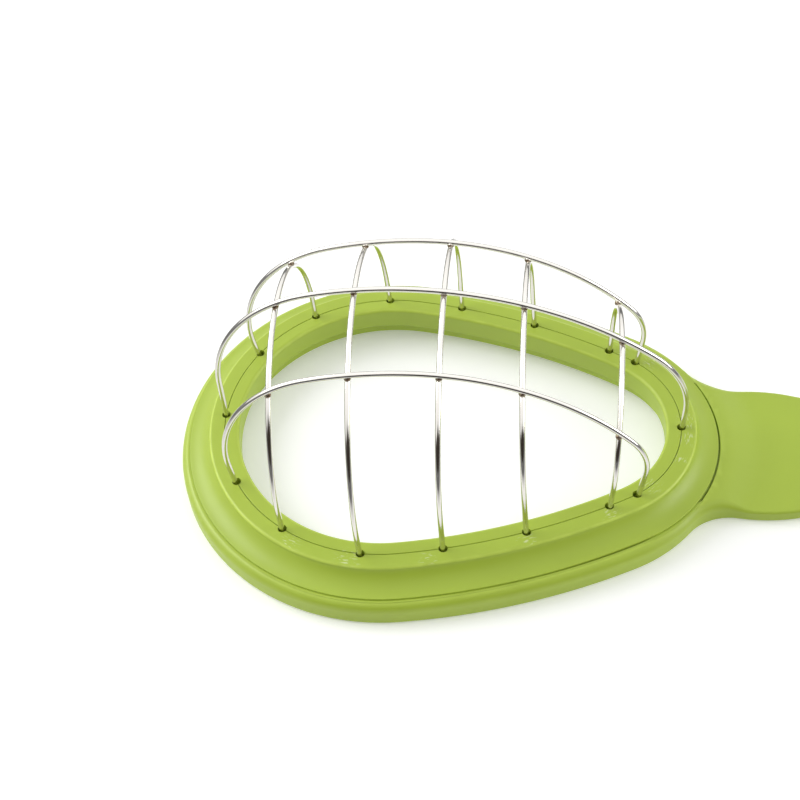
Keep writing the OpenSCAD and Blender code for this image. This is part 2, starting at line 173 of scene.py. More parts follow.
@dataclass(frozen=True)
class Paddle:
    """Outline of the frame: a flange egg that runs out into the handle.

    Args:
        egg: The flange.
        shoulder_x, shoulder_half_w, shoulder_r: Where the handle is widest past the neck.
        neck_r, waist_r, end_r: Radii of the neck hollow, the slim middle and the end.
        end_x: Centre of the handle's end.
    """

    egg: Egg = Egg(43.0, 31.9, 138.5, 36.2)
    shoulder_x: float = 75.5
    shoulder_half_w: float = 15.8
    shoulder_r: float = 34.0
    neck_r: float = 10.5
    waist_r: float = 130.0
    end_r: float = 14.5
    end_x: float = 142.5

    @staticmethod
    def _touching(c1: Vector, r1: float, c2: Vector, r2: float) -> Vector:
        """Finds where two circles cross on the upper side.

        Args:
            c1, r1: Centre and radius of the first circle.
            c2, r2: Centre and radius of the second circle.

        Returns:
            The crossing.
        """
        d = (c2 - c1).length
        x = (r1 * r1 - r2 * r2 + d * d) / (2 * d)
        u = (c2 - c1) / d
        return c1 + x * u + math.sqrt(r1 * r1 - x * x) * Vector((-u.y, u.x))

    @staticmethod
    def _heading(a: Vector, b: Vector) -> float:
        """Returns the direction from a to b."""
        return math.degrees(math.atan2(b.y - a.y, b.x - a.x))

    def arcs(self) -> list[Arc]:
        """Lists the arcs.

        Returns:
            All arcs, from the handle's end round by the upper side.
        """
        egg = self.egg
        tip, end = Vector((egg.centres, 0)), Vector((self.end_x, 0))
        shoulder = Vector((self.shoulder_x, self.shoulder_half_w - self.shoulder_r))
        neck = self._touching(tip, egg.tip_r + self.neck_r, shoulder, self.shoulder_r + self.neck_r)
        waist = self._touching(shoulder, self.shoulder_r + self.waist_r, end, self.end_r + self.waist_r)
        neck_a, neck_b = self._heading(tip, neck), self._heading(shoulder, neck)
        waist_a, waist_b = self._heading(shoulder, waist), self._heading(end, waist)
        side, fat, _, tip_arc = egg.arcs()
        upper = [
            Arc(waist.x, waist.y, self.waist_r, waist_b + 180, waist_a + 180, False),
            Arc(shoulder.x, shoulder.y, self.shoulder_r, waist_a, neck_b),
            Arc(neck.x, neck.y, self.neck_r, neck_b + 180, neck_a + 180, False),
            Arc(tip.x, tip.y, egg.tip_r, neck_a, tip_arc.end),
            side,
        ]
        lower = [arc.flipped() for arc in reversed(upper)]
        return [Arc(end.x, 0, self.end_r, -waist_b, waist_b), *upper, fat, *lower]


def depth(arcs: Sequence[Arc], p: Vector) -> tuple[float, Vector, float]:
    """Measures a point against an outline.

    Args:
        arcs: The outline.
        p: The point, from the outline's own origin.

    Returns:
        How deep inside the outline the point lies, the way out and how far round the outline it is.
    """
    best = (math.inf, Vector((0, 0, 0)), 0.0)
    walked, slack = 0.0, 0.01
    for arc in arcs:
        ray = Vector((p.x - arc.x, p.y - arc.y, 0))
        span = abs(arc.end - arc.start)
        turn = (math.degrees(math.atan2(ray.y, ray.x)) - min(arc.start, arc.end)) % 360
        before, walked = walked, walked + math.radians(span) * arc.radius
        if turn > span + slack or ray.length == 0:
            continue
        inside = arc.radius - ray.length if arc.convex else ray.length - arc.radius
        if abs(inside) < abs(best[0]):
            out = ray.normalized() * (1 if arc.convex else -1)
            best = (inside, out, before + math.radians(turn) * arc.radius)
    return best


# ---- mesh helpers --------------------------------------------------------------------------


def ease(t: float) -> float:
    """Returns t held between 0 and 1, with soft ends."""
    t = max(0.0, min(1.0, t))
    return t * t * (3 - 2 * t)


class Pen:
    """Draws a section as a chain of edges with bmesh operators: U is outwards, Z is up.

    The section stands in the XZ plane at Y = 0, with U = 0 at X = at.
    """

    def __init__(self, bm: Mesh, at: float, u: float, z: float) -> None:
        """Starts the section at (u, z).

        Args:
            bm: Mesh to draw in.
            at: X of the outline's edge.
            u, z: First point.
        """
        self.bm, self.at = bm, at
        self.tip = bmesh.ops.create_vert(bm, co=self._co(u, z))["vert"][0]
        self.geom: Geometry = [self.tip]

    def _co(self, u: float, z: float) -> Vector:
        """Returns the place of a section point."""
        return Vector(((self.at + u) * MM, 0, z * MM))

    def _keep(self, geom: Geometry) -> None:
        """Adds new geometry to the section."""
        self.geom.extend(g for g in geom if g not in self.geom)

    def line(self, u: float, z: float, steps: int = 1) -> Pen:
        """Draws a straight edge.

        Args:
            u, z: Its end.
            steps: Number of edges it is made of.

        Returns:
            The pen.
        """
        start, goal = self.tip.co.copy(), self._co(u, z)
        for i in range(1, steps + 1):
            made = bmesh.ops.extrude_vert_indiv(self.bm, verts=[self.tip])
            self.tip = made["verts"][0]
            self.tip.co = start.lerp(goal, i / steps)
            self._keep(made["edges"] + made["verts"])
        return self

    def arc(self, u: float, z: float, degrees: float, steps: int) -> Pen:
        """Draws an arc.

        Args:
            u, z: Its centre.
            degrees: Its angle, which turns from U towards Z when it is positive.
            steps: Number of edges it is made of.

        Returns:
            The pen.
        """
        made = bmesh.ops.spin(
            self.bm,
            geom=[self.tip],
            cent=self._co(u, z),
            axis=BACKWARDS,
            angle=math.radians(degrees),
            steps=steps,
            use_duplicate=False,
        )
        self.tip = made["geom_last"][0]
        self._keep([e for v in list(self.bm.verts) for e in v.link_edges if e not in self.geom])
        self._keep([v for v in self.bm.verts if v.link_edges])
        return self


Draw = Callable[[Mesh, float], Pen]


def sweep(arcs: Sequence[Arc], draw: Draw, fat_x: float, chord: float) -> Mesh:
    """Sweeps a section round a closed outline of arcs.

    Args:
        arcs: The outline.
        draw: Draws the section in a mesh, at an X, and returns the pen.
        fat_x: X of the outline's own origin.
        chord: Length of one step along the outline.

    Returns:
        The swept mesh.
    """
    bm, first = bmesh.new(), arcs[0]
    pen = draw(bm, first.radius)
    turn = Matrix.Rotation(math.radians(first.start), 4, "Z")
    bmesh.ops.transform(
        bm,
        matrix=Matrix.Translation(((fat_x + first.x) * MM, first.y * MM, 0)) @ turn,
        verts=[g for g in pen.geom if isinstance(g, bmesh.types.BMVert)],
    )
    geom: Geometry = pen.geom
    for arc in arcs:
        angle = math.radians(arc.end - arc.start)
        made = bmesh.ops.spin(
            bm,
            geom=geom,
            cent=((fat_x + arc.x) * MM, arc.y * MM, 0),
            axis=UP,
            angle=angle,
            steps=max(2, round(abs(angle) * arc.radius / chord)),
            use_duplicate=False,
        )
        geom = made["geom_last"]
    bmesh.ops.remove_doubles(bm, verts=bm.verts, dist=SWEEP_MERGE)
    return bm


def open_edges(bm: Mesh, z: float) -> list[Edge]:
    """Finds the edges of a mesh that bound a hole.

    Args:
        bm: The mesh.
        z: Height of the hole.

    Returns:
        Its edges.
    """
    rims = [e for e in bm.edges if len(e.link_faces) == 1]
    return [e for e in rims if all(abs(v.co.z - z * MM) < SWEEP_MERGE for v in e.verts)]


def outwards(bm: Mesh) -> None:
    """Merges doubles and turns every face outwards."""
    bmesh.ops.remove_doubles(bm, verts=bm.verts, dist=MERGE)
    bmesh.ops.recalc_face_normals(bm, faces=bm.faces)


def add_mesh(bm: Mesh, part: Mesh) -> None:
    """Adds one mesh to another.

    Args:
        bm: The mesh that grows.
        part: The mesh that is added, which is freed.
    """
    mesh = bpy.data.meshes.new("part")
    part.to_mesh(mesh)
    part.free()
    bm.from_mesh(mesh)
    bpy.data.meshes.remove(mesh)


def make_object(bm: Mesh, name: str, material: Material | None = None) -> Object:
    """Turns a mesh into an object at the origin.

    Args:
        bm: The mesh, which is freed.
        name: Name of the object.
        material: Its material, if it has one.

    Returns:
        The new object, linked to the scene.
    """
    mesh = bpy.data.meshes.new(name)
    bm.to_mesh(mesh)
    bm.free()
    obj = bpy.data.objects.new(name, mesh)
    bpy.context.scene.collection.objects.link(obj)
    if material:
        mesh.materials.append(material)
    return obj


def cut(obj: Object, cutter: Mesh) -> None:
    """Cuts a closed mesh out of an object, which keeps its material.

    Args:
        obj: The object.
        cutter: The closed mesh, which is freed.
    """
    tool = make_object(cutter, "cutter")
    mod = obj.modifiers.new("cut", "BOOLEAN")
    mod.operation, mod.object, mod.solver = "DIFFERENCE", tool, "EXACT"
    graph = bpy.context.evaluated_depsgraph_get()
    done = bpy.data.meshes.new_from_object(obj.evaluated_get(graph))
    obj.modifiers.clear()
    old, obj.data = obj.data, done
    done.name = obj.name
    spare = tool.data
    bpy.data.meshes.remove(old)
    bpy.data.objects.remove(tool)
    bpy.data.meshes.remove(spare)


def finish_shading(obj: Object, degrees: float = CREASE) -> None:
    """Shades an object smooth but along its creases, and weights its normals by face size.

    Args:
        obj: The object.
        degrees: Turn between faces from which an edge is a crease.
    """
    bm = bmesh.new()
    bm.from_mesh(obj.data)
    limit = math.radians(degrees)
    for f in bm.faces:
        f.smooth = True
    for e in bm.edges:
        e.smooth = len(e.link_faces) == 2 and e.calc_face_angle(0) < limit
    bm.to_mesh(obj.data)
    bm.free()
    mod = obj.modifiers.new("weighted", "WEIGHTED_NORMAL")
    mod.keep_sharp, mod.weight = True, FACE_WEIGHT


def paint(obj: Object, name: str, amount: Callable[[Vector], float]) -> None:
    """Gives every vertex of an object a number that its material reads.

    Args:
        obj: The object.
        name: Name of the attribute.
        amount: Returns the number for a place in metres.
    """
    layer = obj.data.attributes.new(name, "FLOAT", "POINT")
    for v in obj.data.vertices:
        layer.data[v.index].value = amount(v.co)


def stand_for(obj: Object, node: str) -> None:
    """Rides a piece on the body in place of a CAD node and reports it.

    Args:
        obj: The piece.
        node: Name of the CAD node.
    """
    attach(obj, "root")
    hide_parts(node)
    LOG.info("%s: %d vertices, %d faces", obj.name, len(obj.data.vertices), len(obj.data.polygons))


# ---- materials -----------------------------------------------------------------------------


def linear(hex_colour: str) -> RGBA:
    """Returns an sRGB hex colour such as "a9c24a" as linear RGBA."""
    parts = [int(hex_colour[i : i + 2], 16) / 255 for i in (0, 2, 4)]
    return (*(c / 12.92 if c <= 0.04045 else ((c + 0.055) / 1.055) ** 2.4 for c in parts), 1.0)


def feed(tree: Tree, node: Node, inputs: Inputs) -> None:
    """Sets inputs of a node.

    Args:
        tree: The node's tree.
        node: The node.
        inputs: What each input gets, by name or number. A socket is linked, anything else is a value.
    """
    for key, value in inputs.items():
        if isinstance(value, bpy.types.NodeSocket):
            tree.links.new(value, node.inputs[key])
        else:
            node.inputs[key].default_value = value


def add_node(
    tree: Tree,
    kind: str,
    inputs: Inputs | None = None,
    settings: dict[str, object] | None = None,
    stops: Sequence[tuple[float, RGBA]] = (),
) -> bpy.types.bpy_prop_collection:
    """Adds a node to a tree.

    Args:
        tree: The tree.
        kind: Its bl_idname after "ShaderNode".
        inputs: What its inputs get, as in feed.
        settings: Attributes of the node.
        stops: Places and colours of a colour ramp.

    Returns:
        The node's outputs.
    """
    node = tree.nodes.new(f"ShaderNode{kind}")
    for key, value in (settings or {}).items():
        setattr(node, key, value)
    feed(tree, node, inputs or {})
    if stops:
        elements = node.color_ramp.elements
        while len(elements) < len(stops):
            elements.new(0.5)
        for element, (place, colour) in zip(elements, stops):
            element.position, element.color = place, colour
    return node.outputs


def start_material(name: str) -> tuple[Material, Tree, Node]:
    """Starts a material.

    Args:
        name: Its name.

    Returns:
        The material, its tree and its Principled shader.
    """
    mat = bpy.data.materials.new(name)
    mat.use_nodes = True
    tree = mat.node_tree
    return mat, tree, tree.nodes["Principled BSDF"]


WHITE, BLACK = (1, 1, 1, 1), (0, 0, 0, 1)
# Inputs of a Mix node that mixes colours, which share their names with other inputs
FACTOR, FIRST, SECOND = 0, 6, 7
RGBA_MIX = {"data_type": "RGBA"}
TIMES, CLAMPED_TIMES = {"operation": "MULTIPLY"}, {"operation": "MULTIPLY", "use_clamp": True}
TIMES_PLUS, LARGER = {"operation": "MULTIPLY_ADD"}, {"operation": "MAXIMUM"}


@dataclass(frozen=True)
class MouldedABS:
    """Injection-moulded ABS in lime: satin, dyed through, faintly mottled, scuffed by use, and with a
    highlight painted paler along its lips.

    Scales are patterns per metre, worked out from the real sizes that the comments in build give.

    Args:
        name: Name of the material.
        colour: Its dye as sRGB hex.
        shade: A slightly deeper tone that the dye drifts to, as sRGB hex.
        scuff_colour, painted_highlight_colour: Tones of the scrapes and of the highlight painted along the
            lips as sRGB hex.
        scuffs: How much of the pale scrapes shows.
        roughness, gloss_below, gloss_above: Middle of its gloss and how far it wanders.
        scuff_roughness: How much rougher a scrape is.
        dye_scale, scrape_scale, highlight_patch_scale, gloss_scale, grain_scale: Scales of its patterns.
        grain_depth, grain_strength: Depth of the mould texture in metres and how much of it shows.
        ior: Its refraction.
        scatter, scatter_radius, scatter_scale: How light spreads under its surface.
    """

    name: str = "moulded_lime_abs"
    colour: str = "a7be3a"
    shade: str = "a2b837"
    scuff_colour: str = "d9e2b4"
    painted_highlight_colour: str = "cfe460"
    scuffs: float = 0.9
    roughness: float = 0.42
    gloss_below: float = 0.05
    gloss_above: float = 0.06
    scuff_roughness: float = 0.25
    dye_scale: float = 40
    scrape_scale: float = 3300
    highlight_patch_scale: float = 250
    gloss_scale: float = 110
    grain_scale: float = 3200
    grain_depth: float = 0.00002
    grain_strength: float = 0.12
    ior: float = 1.53
    scatter: float = 0.12
    scatter_radius: Triple = (1.0, 1.0, 0.35)
    scatter_scale: float = 0.0005

    def build(self) -> Material:
        """Builds the material.

        Returns:
            The material.
        """
        mat, tree, bsdf = start_material(self.name)
        coords = add_node(tree, "TexCoord")["Object"]
        # Dye drifts over about 25 mm, as in a moulding that was filled from one gate
        drift = add_node(tree, "TexNoise", {"Scale": self.dye_scale, "Detail": 3, "Vector": coords})["Fac"]
        drift = add_node(tree, "ValToRGB", {"Fac": drift}, stops=[(0.35, BLACK), (0.65, WHITE)])["Color"]
        dyes = {FACTOR: drift, FIRST: linear(self.colour), SECOND: linear(self.shade)}
        colour = add_node(tree, "Mix", dyes, RGBA_MIX)[2]
        # Pale scrapes about 0.3 mm wide that run along the seam, only where the mesh carries wear
        wear = add_node(tree, "Attribute", settings={"attribute_name": "wear"})["Fac"]
        lay = add_node(tree, "Attribute", settings={"attribute_name": "lay"})["Vector"]
        marks = add_node(tree, "TexNoise", {"Scale": self.scrape_scale, "Detail": 1, "Vector": lay})["Fac"]
        marks = add_node(tree, "ValToRGB", {"Fac": marks}, stops=[(0.57, BLACK), (0.64, WHITE)])["Color"]
        worn = add_node(tree, "Math", {0: marks, 1: wear}, TIMES)[0]
        worn = add_node(tree, "Math", {0: worn, 1: self.scuffs}, CLAMPED_TIMES)[0]
        scuffed = {FACTOR: worn, FIRST: colour, SECOND: linear(self.scuff_colour)}
        colour = add_node(tree, "Mix", scuffed, RGBA_MIX)[2]
        # Painted highlight: the lips are painted paler where light catches their edges, unevenly over about 4
        # mm
        painted_highlight = add_node(tree, "Attribute", settings={"attribute_name": "painted_highlight"})["Fac"]
        patchy = add_node(tree, "TexNoise", {"Scale": self.highlight_patch_scale, "Detail": 2, "Vector": coords})["Fac"]
        share = {"Value": patchy, "From Min": 0.3, "From Max": 0.7, "To Min": 0.35, "To Max": 0.75}
        painted_highlight = add_node(tree, "Math", {0: painted_highlight, 1: add_node(tree, "MapRange", share)[0]}, TIMES)[0]
        highlighted = {FACTOR: painted_highlight, FIRST: colour, SECOND: linear(self.painted_highlight_colour)}
        # Gloss wanders over about 9 mm, as a mould's polish does, and scrapes are rougher
        gloss = add_node(tree, "TexNoise", {"Scale": self.gloss_scale, "Detail": 4, "Vector": coords})["Fac"]
        low, high = self.roughness - self.gloss_below, self.roughness + self.gloss_above
        rough = add_node(tree, "MapRange", {"Value": gloss, "To Min": low, "To Max": high})[0]
        rough = add_node(tree, "Math", {0: worn, 1: self.scuff_roughness, 2: rough}, TIMES_PLUS)[0]
        # Spark-eroded mould texture, grain of about 0.15 mm, drawn at 0.3 mm so that it shows
        grain = add_node(tree, "TexNoise", {"Scale": self.grain_scale, "Detail": 2, "Vector": coords})["Fac"]
        bump = {"Strength": self.grain_strength, "Distance": self.grain_depth, "Height": grain}
        surface = {
            "Base Color": add_node(tree, "Mix", highlighted, RGBA_MIX)[2],
            "Roughness": rough,
            "Normal": add_node(tree, "Bump", bump)[0],
            "IOR": self.ior,
            "Subsurface Weight": self.scatter,
            "Subsurface Radius": self.scatter_radius,
            "Subsurface Scale": self.scatter_scale,
        }
        feed(tree, bsdf, surface)
        return mat


@dataclass(frozen=True)
class DrawnStainless:
    """Bright drawn stainless wire: near mirror, a little uneven in gloss, with brown tints at the welds.

    Args:
        name: Name of the material.
        colour: Metal colour as sRGB hex.
        tint: Heat tint at the welds as sRGB hex.
        roughness, gloss_below, gloss_above: Middle of its gloss and how far it wanders.
        heat_roughness: How much rougher the tinted metal is.
        tint_scale, die_scale: Patterns per metre of the tint's blotches and of the gloss.
    """

    name: str = "drawn_stainless_wire"
    colour: str = "e3e0da"
    tint: str = "8a6a48"
    roughness: float = 0.11
    gloss_below: float = 0.04
    gloss_above: float = 0.05
    heat_roughness: float = 0.25
    tint_scale: float = 900
    die_scale: float = 500

    def build(self) -> Material:
        """Builds the material.

        Returns:
            The material.
        """
        mat, tree, bsdf = start_material(self.name)
        coords = add_node(tree, "TexCoord")["Object"]
        # Brown oxide from a weld's heat, blotchy over about 1.1 mm
        heat = add_node(tree, "Attribute", settings={"attribute_name": "heat"})["Fac"]
        blotch = add_node(tree, "TexNoise", {"Scale": self.tint_scale, "Detail": 2, "Vector": coords})["Fac"]
        share = {"Value": blotch, "From Min": 0.3, "From Max": 0.7, "To Min": 0.55, "To Max": 1.0}
        heat = add_node(tree, "Math", {0: heat, 1: add_node(tree, "MapRange", share)[0]}, CLAMPED_TIMES)[0]
        tones = {FACTOR: heat, FIRST: linear(self.colour), SECOND: linear(self.tint)}
        # The drawing die's polish wanders over about 2 mm
        die = add_node(tree, "TexNoise", {"Scale": self.die_scale, "Detail": 3, "Vector": coords})["Fac"]
        low, high = self.roughness - self.gloss_below, self.roughness + self.gloss_above
        rough = add_node(tree, "MapRange", {"Value": die, "To Min": low, "To Max": high})[0]
        surface = {
            "Base Color": add_node(tree, "Mix", tones, RGBA_MIX)[2],
            "Metallic": 1.0,
            "Roughness": add_node(tree, "Math", {0: heat, 1: self.heat_roughness, 2: rough}, TIMES_PLUS)[0],
        }
        feed(tree, bsdf, surface)
        return mat


@dataclass(frozen=True)
class WeldMetal:
    """Metal squeezed out at a resistance weld: dull, pitted and tinted by its heat.

    Args:
        name: Name of the material.
        pale, dark: Tones of the bead as sRGB hex.
        roughness: Its gloss.
        pit_scale: Patterns per metre of the pits.
        pit_depth, pit_strength: Depth of the pits in metres and how much of it shows.
    """

    name: str = "weld_metal"
    pale: str = "b9ad9c"
    dark: str = "6b5138"
    roughness: float = 0.38
    pit_scale: float = 2400
    pit_depth: float = 0.00006
    pit_strength: float = 0.5

    def build(self) -> Material:
        """Builds the material.

        Returns:
            The material.
        """
        mat, tree, bsdf = start_material(self.name)
        coords = add_node(tree, "TexCoord")["Object"]
        # Pits and tint patches about 0.4 mm across
        pits = add_node(tree, "TexNoise", {"Scale": self.pit_scale, "Detail": 3, "Vector": coords})["Fac"]
        tones = [(0.35, linear(self.dark)), (0.68, linear(self.pale))]
        bump = {"Strength": self.pit_strength, "Distance": self.pit_depth, "Height": pits}
        surface = {
            "Base Color": add_node(tree, "ValToRGB", {"Fac": pits}, stops=tones)["Color"],
            "Metallic": 1.0,
            "Roughness": self.roughness,
            "Normal": add_node(tree, "Bump", bump)[0],
        }
        feed(tree, bsdf, surface)
        return mat


# ---- mouldings -----------------------------------------------------------------------------


class Row(Enum):
    """Which long wire is meant; the value is its side of the middle plane."""

    FRONT = -1
    MIDDLE = 0
    BACK = 1


@dataclass
class Cage:
    """Places shared by the rings, the frame and the wires.

    Args:
        seam: The egg on which every wire enters the rings.
        fat_x: X of its fat end's centre.
        top_z: Height of the rings' top face.
        shelf_z: Height of the shelf under them.
        wire_d, hole_d: Diameters of the wire and of its holes.
        outer_y: Distance of the outer long wires from the middle plane.
        first_cross_x, cross_pitch, cross_count: The cross wires, from the fat end's centre.
        drill_len, drill_sink: Length of a hole's drill, and how far its middle lies under the top face.
        drill_sides: Sides of a drill.
    """

    seam: Egg = Egg(33.4, 20.7, 128.6, 38.9)
    fat_x: float = -57.0
    top_z: float = 9.7
    shelf_z: float = 4.6
    wire_d: float = 1.1
    hole_d: float = 1.8
    outer_y: float = 17.1
    first_cross_x: float = -18.0
    cross_pitch: float = 15.8
    cross_count: int = 5
    drill_len: float = 6.4
    drill_sink: float = 2.0
    drill_sides: int = 32

    def row_y(self, row: Row) -> float:
        """Returns Y of a long wire."""
        return row.value * self.outer_y

    def cross_xs(self) -> list[float]:
        """Returns X of the cross wires, from the fat end's centre."""
        return [self.first_cross_x + i * self.cross_pitch for i in range(self.cross_count)]

    def holes(self) -> list[tuple[float, float]]:
        """Lists the wires' holes.

        Returns:
            X from the fat end's centre and Y of all sixteen.
        """
        out = [(x, side * self.seam.half_width(x)) for x in self.cross_xs() for side in (1, -1)]
        for y in map(self.row_y, Row):
            out += [(self.seam.tip_x(y), y), (self.seam.fat_x(y), y)]
        return out

    def drills(self) -> Mesh:
        """Makes the drills for the wires' holes.

        Returns:
            A mesh of one closed cylinder for every hole.
        """
        bm = bmesh.new()
        z = (self.top_z - self.drill_sink) * MM
        for x, y in self.holes():
            bmesh.ops.create_cone(
                bm,
                cap_ends=True,
                segments=self.drill_sides,
                radius1=self.hole_d / 2 * MM,
                radius2=self.hole_d / 2 * MM,
                depth=self.drill_len * MM,
                matrix=Matrix.Translation(((self.fat_x + x) * MM, y * MM, z)),
            )
        return bm


@dataclass(frozen=True)
class PaintedHighlight:
    """An edge that hands and fruit rub pale.

    Args:
        at: Where the painted highlight is strongest, outwards from the seam.
        share: How strong it is there.
        reach: How far from there the painted highlight goes.
    """

    at: float
    share: float
    reach: float = 0.25

    def highlighted(self, off: float) -> float:
        """Returns how strongly the highlight is painted at a distance outwards from the seam."""
        return self.share * math.exp(-(((off - self.at) / self.reach) ** 2))


def mark_edges(obj: Object, cage: Cage, lips: Sequence[PaintedHighlight], low: float) -> None:
    """Marks how strongly a highlight is painted along the edges of a moulding, and which way scrapes lie on
    it.

    Args:
        obj: The moulding.
        cage: The seam from which the lips are measured.
        lips: Its edges, along which the highlight is painted.
        low: Height above which it is marked.
    """
    # Painted highlight: a number per vertex with which the plastic is mixed towards a paler colour
    painted_highlight = obj.data.attributes.new("painted_highlight", "FLOAT", "POINT").name
    lay = obj.data.attributes.new("lay", "FLOAT_VECTOR", "POINT").name
    painted_highlights, lays = obj.data.attributes[painted_highlight].data, obj.data.attributes[lay].data
    arcs = cage.seam.arcs()
    for v in obj.data.vertices:
        if v.co.z < low * MM:
            continue
        inside, _, walked = depth(arcs, v.co / MM - Vector((cage.fat_x, 0, 0)))
        lays[v.index].vector = (walked * MM / SCRAPE_STRETCH, -inside * MM, v.co.z)
        painted_highlights[v.index].value = max(lip.highlighted(-inside) for lip in lips)


@dataclass
class Rings:
    """The two rings that hold the wires.

    Args:
        cage: Where the wires enter.
        gap, seam_r: Gap along the seam, and rounding of both rings along it.
        inner_w, inner_lip_r, inner_foot_r: Inner ring's width and roundings.
        outer_w, outer_lip_r, lip_h: Outer ring's top width, rounding and upright lip.
        cove_r, foot_offset, foot_z, foot_r: Its hollow side and its foot.
        foot_drop: How far the foot goes down into the groove round it.
        ledge, ledge_fall: Width and fall of the ledge at the bottom of the groove.
        skirt_lift: Height of the ledge's outer edge over the shelf.
        chord: Length of one step round the rings.
        scrapes: X, Y and reach of the scraped places: at the feet of the wires and round the narrow end.
        scrape_depth, highlight_depth: How far under the top face they are scraped, and the lips have their
            painted highlight.
        inner_highlight_in, inner_highlight, outer_highlight_in, outer_highlight: Where inside each lip's edge
        the highlight is painted strongest, and how strong.
    """

    cage: Cage
    gap: float = 0.1
    seam_r: float = 0.12
    inner_w: float = 3.0
    inner_lip_r: float = 0.8
    inner_foot_r: float = 0.5
    outer_w: float = 3.2
    outer_lip_r: float = 0.6
    lip_h: float = 0.85
    cove_r: float = 5.7
    foot_offset: float = 7.7
    foot_z: float = 5.9
    foot_r: float = 0.12
    foot_drop: float = 0.7
    ledge: float = 0.12
    ledge_fall: float = 0.05
    skirt_lift: float = 0.05
    chord: float = 0.9
    scrapes: tuple[Triple, ...] = (
        (-73.3, -31.6, 2.4),
        (-61.5, -34.8, 3.0),
        (-46.0, -34.2, 2.0),
        (-27.4, -29.0, 2.2),
        (-11.4, -21.9, 2.2),
        (-3.6, -15.0, 2.2),
        (2.3, -8.2, 1.6),
        (3.7, -3.0, 2.2),
        (4.0, 1.6, 2.6),
        (-3.0, 17.2, 2.4),
        (-8.8, 20.5, 2.2),
    )
    scrape_depth: float = 0.3
    highlight_depth: float = 0.6
    inner_highlight_in: float = 0.25
    inner_highlight: float = 0.85
    outer_highlight_in: float = 0.15
    outer_highlight: float = 1.0

    def _inner(self, bm: Mesh, at: float) -> Pen:
        """Draws the inner ring's section, from the seam's foot round by the top.

        Args:
            bm: Mesh to draw in.
            at: X of the seam.

        Returns:
            The pen.
        """
        top, low, w = self.cage.top_z, self.cage.shelf_z, -self.inner_w
        r, f, g, s = self.inner_lip_r, self.inner_foot_r, -self.gap / 2, self.seam_r
        pen = Pen(bm, at, g, low)
        pen.line(g, top - s, steps=2).arc(g - s, top - s, 90, steps=3)
        pen.line(w + r, top, steps=3).arc(w + r, top - r, 90, steps=8)
        pen.line(w, low + f, steps=3).arc(w + f, low + f, 90, steps=5)
        return pen.line(g, low, steps=2)

    def _outer(self, bm: Mesh, at: float) -> Pen:
        """Draws the outer ring's section, from the seam's foot round by the top.

        Args:
            bm: Mesh to draw in.
            at: X of the seam.

        Returns:
            The pen.
        """
        top, low, w = self.cage.top_z, self.cage.shelf_z, self.outer_w
        r, g, s = self.outer_lip_r, self.gap / 2, self.seam_r
        p, q = Vector((w, top - self.lip_h)), Vector((self.foot_offset - self.foot_r, self.foot_z))
        half = (q - p) / 2
        u = half.normalized()
        centre = (p + q) / 2 + math.sqrt(self.cove_r**2 - half.length_squared) * Vector((-u.y, u.x))
        span = math.degrees(2 * math.asin(half.length / self.cove_r))
        ledge_x, ledge_z = self.foot_offset + self.ledge, self.foot_z - self.foot_drop
        pen = Pen(bm, at, g, low)
        pen.line(g, top - s, steps=2).arc(g + s, top - s, -90, steps=3)
        pen.line(w - r, top, steps=3).arc(w - r, top - r, -90, steps=7)
        pen.line(p.x, p.y).arc(centre.x, centre.y, span, steps=14)
        pen.arc(q.x, q.y - self.foot_r, -90, steps=3)
        pen.line(self.foot_offset, ledge_z).line(ledge_x, ledge_z - self.ledge_fall)
        pen.line(ledge_x, low + self.skirt_lift)
        return pen.line(g, low, steps=3)

    def build(self, plastic: Material) -> None:
        """Builds both rings.

        Args:
            plastic: Their material.
        """
        for name, draw in (("inner_ring", self._inner), ("outer_ring", self._outer)):
            bm = sweep(self.cage.seam.arcs(), draw, self.cage.fat_x, self.chord)
            outwards(bm)
            obj = make_object(bm, name, plastic)
            cut(obj, self.cage.drills())
            self._mark(obj)
            finish_shading(obj)
            stand_for(obj, name)

    def _scraped(self, p: Vector) -> float:
        """Works out how much a ring is scraped.

        Args:
            p: A place on it, in metres.

        Returns:
            From 0 for not at all to 1 in the middle of a scraped place.
        """
        if p.z <= (self.cage.top_z - self.scrape_depth) * MM:
            return 0.0
        at = p.xy / MM
        return max(0.0, *((reach - (at - Vector((x, y))).length) / reach for x, y, reach in self.scrapes))

    def _mark(self, obj: Object) -> None:
        """Marks where a ring is scraped and where a highlight is painted along its lips.

        Args:
            obj: The ring.
        """
        # Painted highlights along the inner and outer lips
        inner = PaintedHighlight(-self.inner_w + self.inner_highlight_in, self.inner_highlight)
        outer = PaintedHighlight(self.outer_w - self.outer_highlight_in, self.outer_highlight)
        paint(obj, "wear", self._scraped)
        mark_edges(obj, self.cage, [outer, inner], self.cage.top_z - self.highlight_depth)


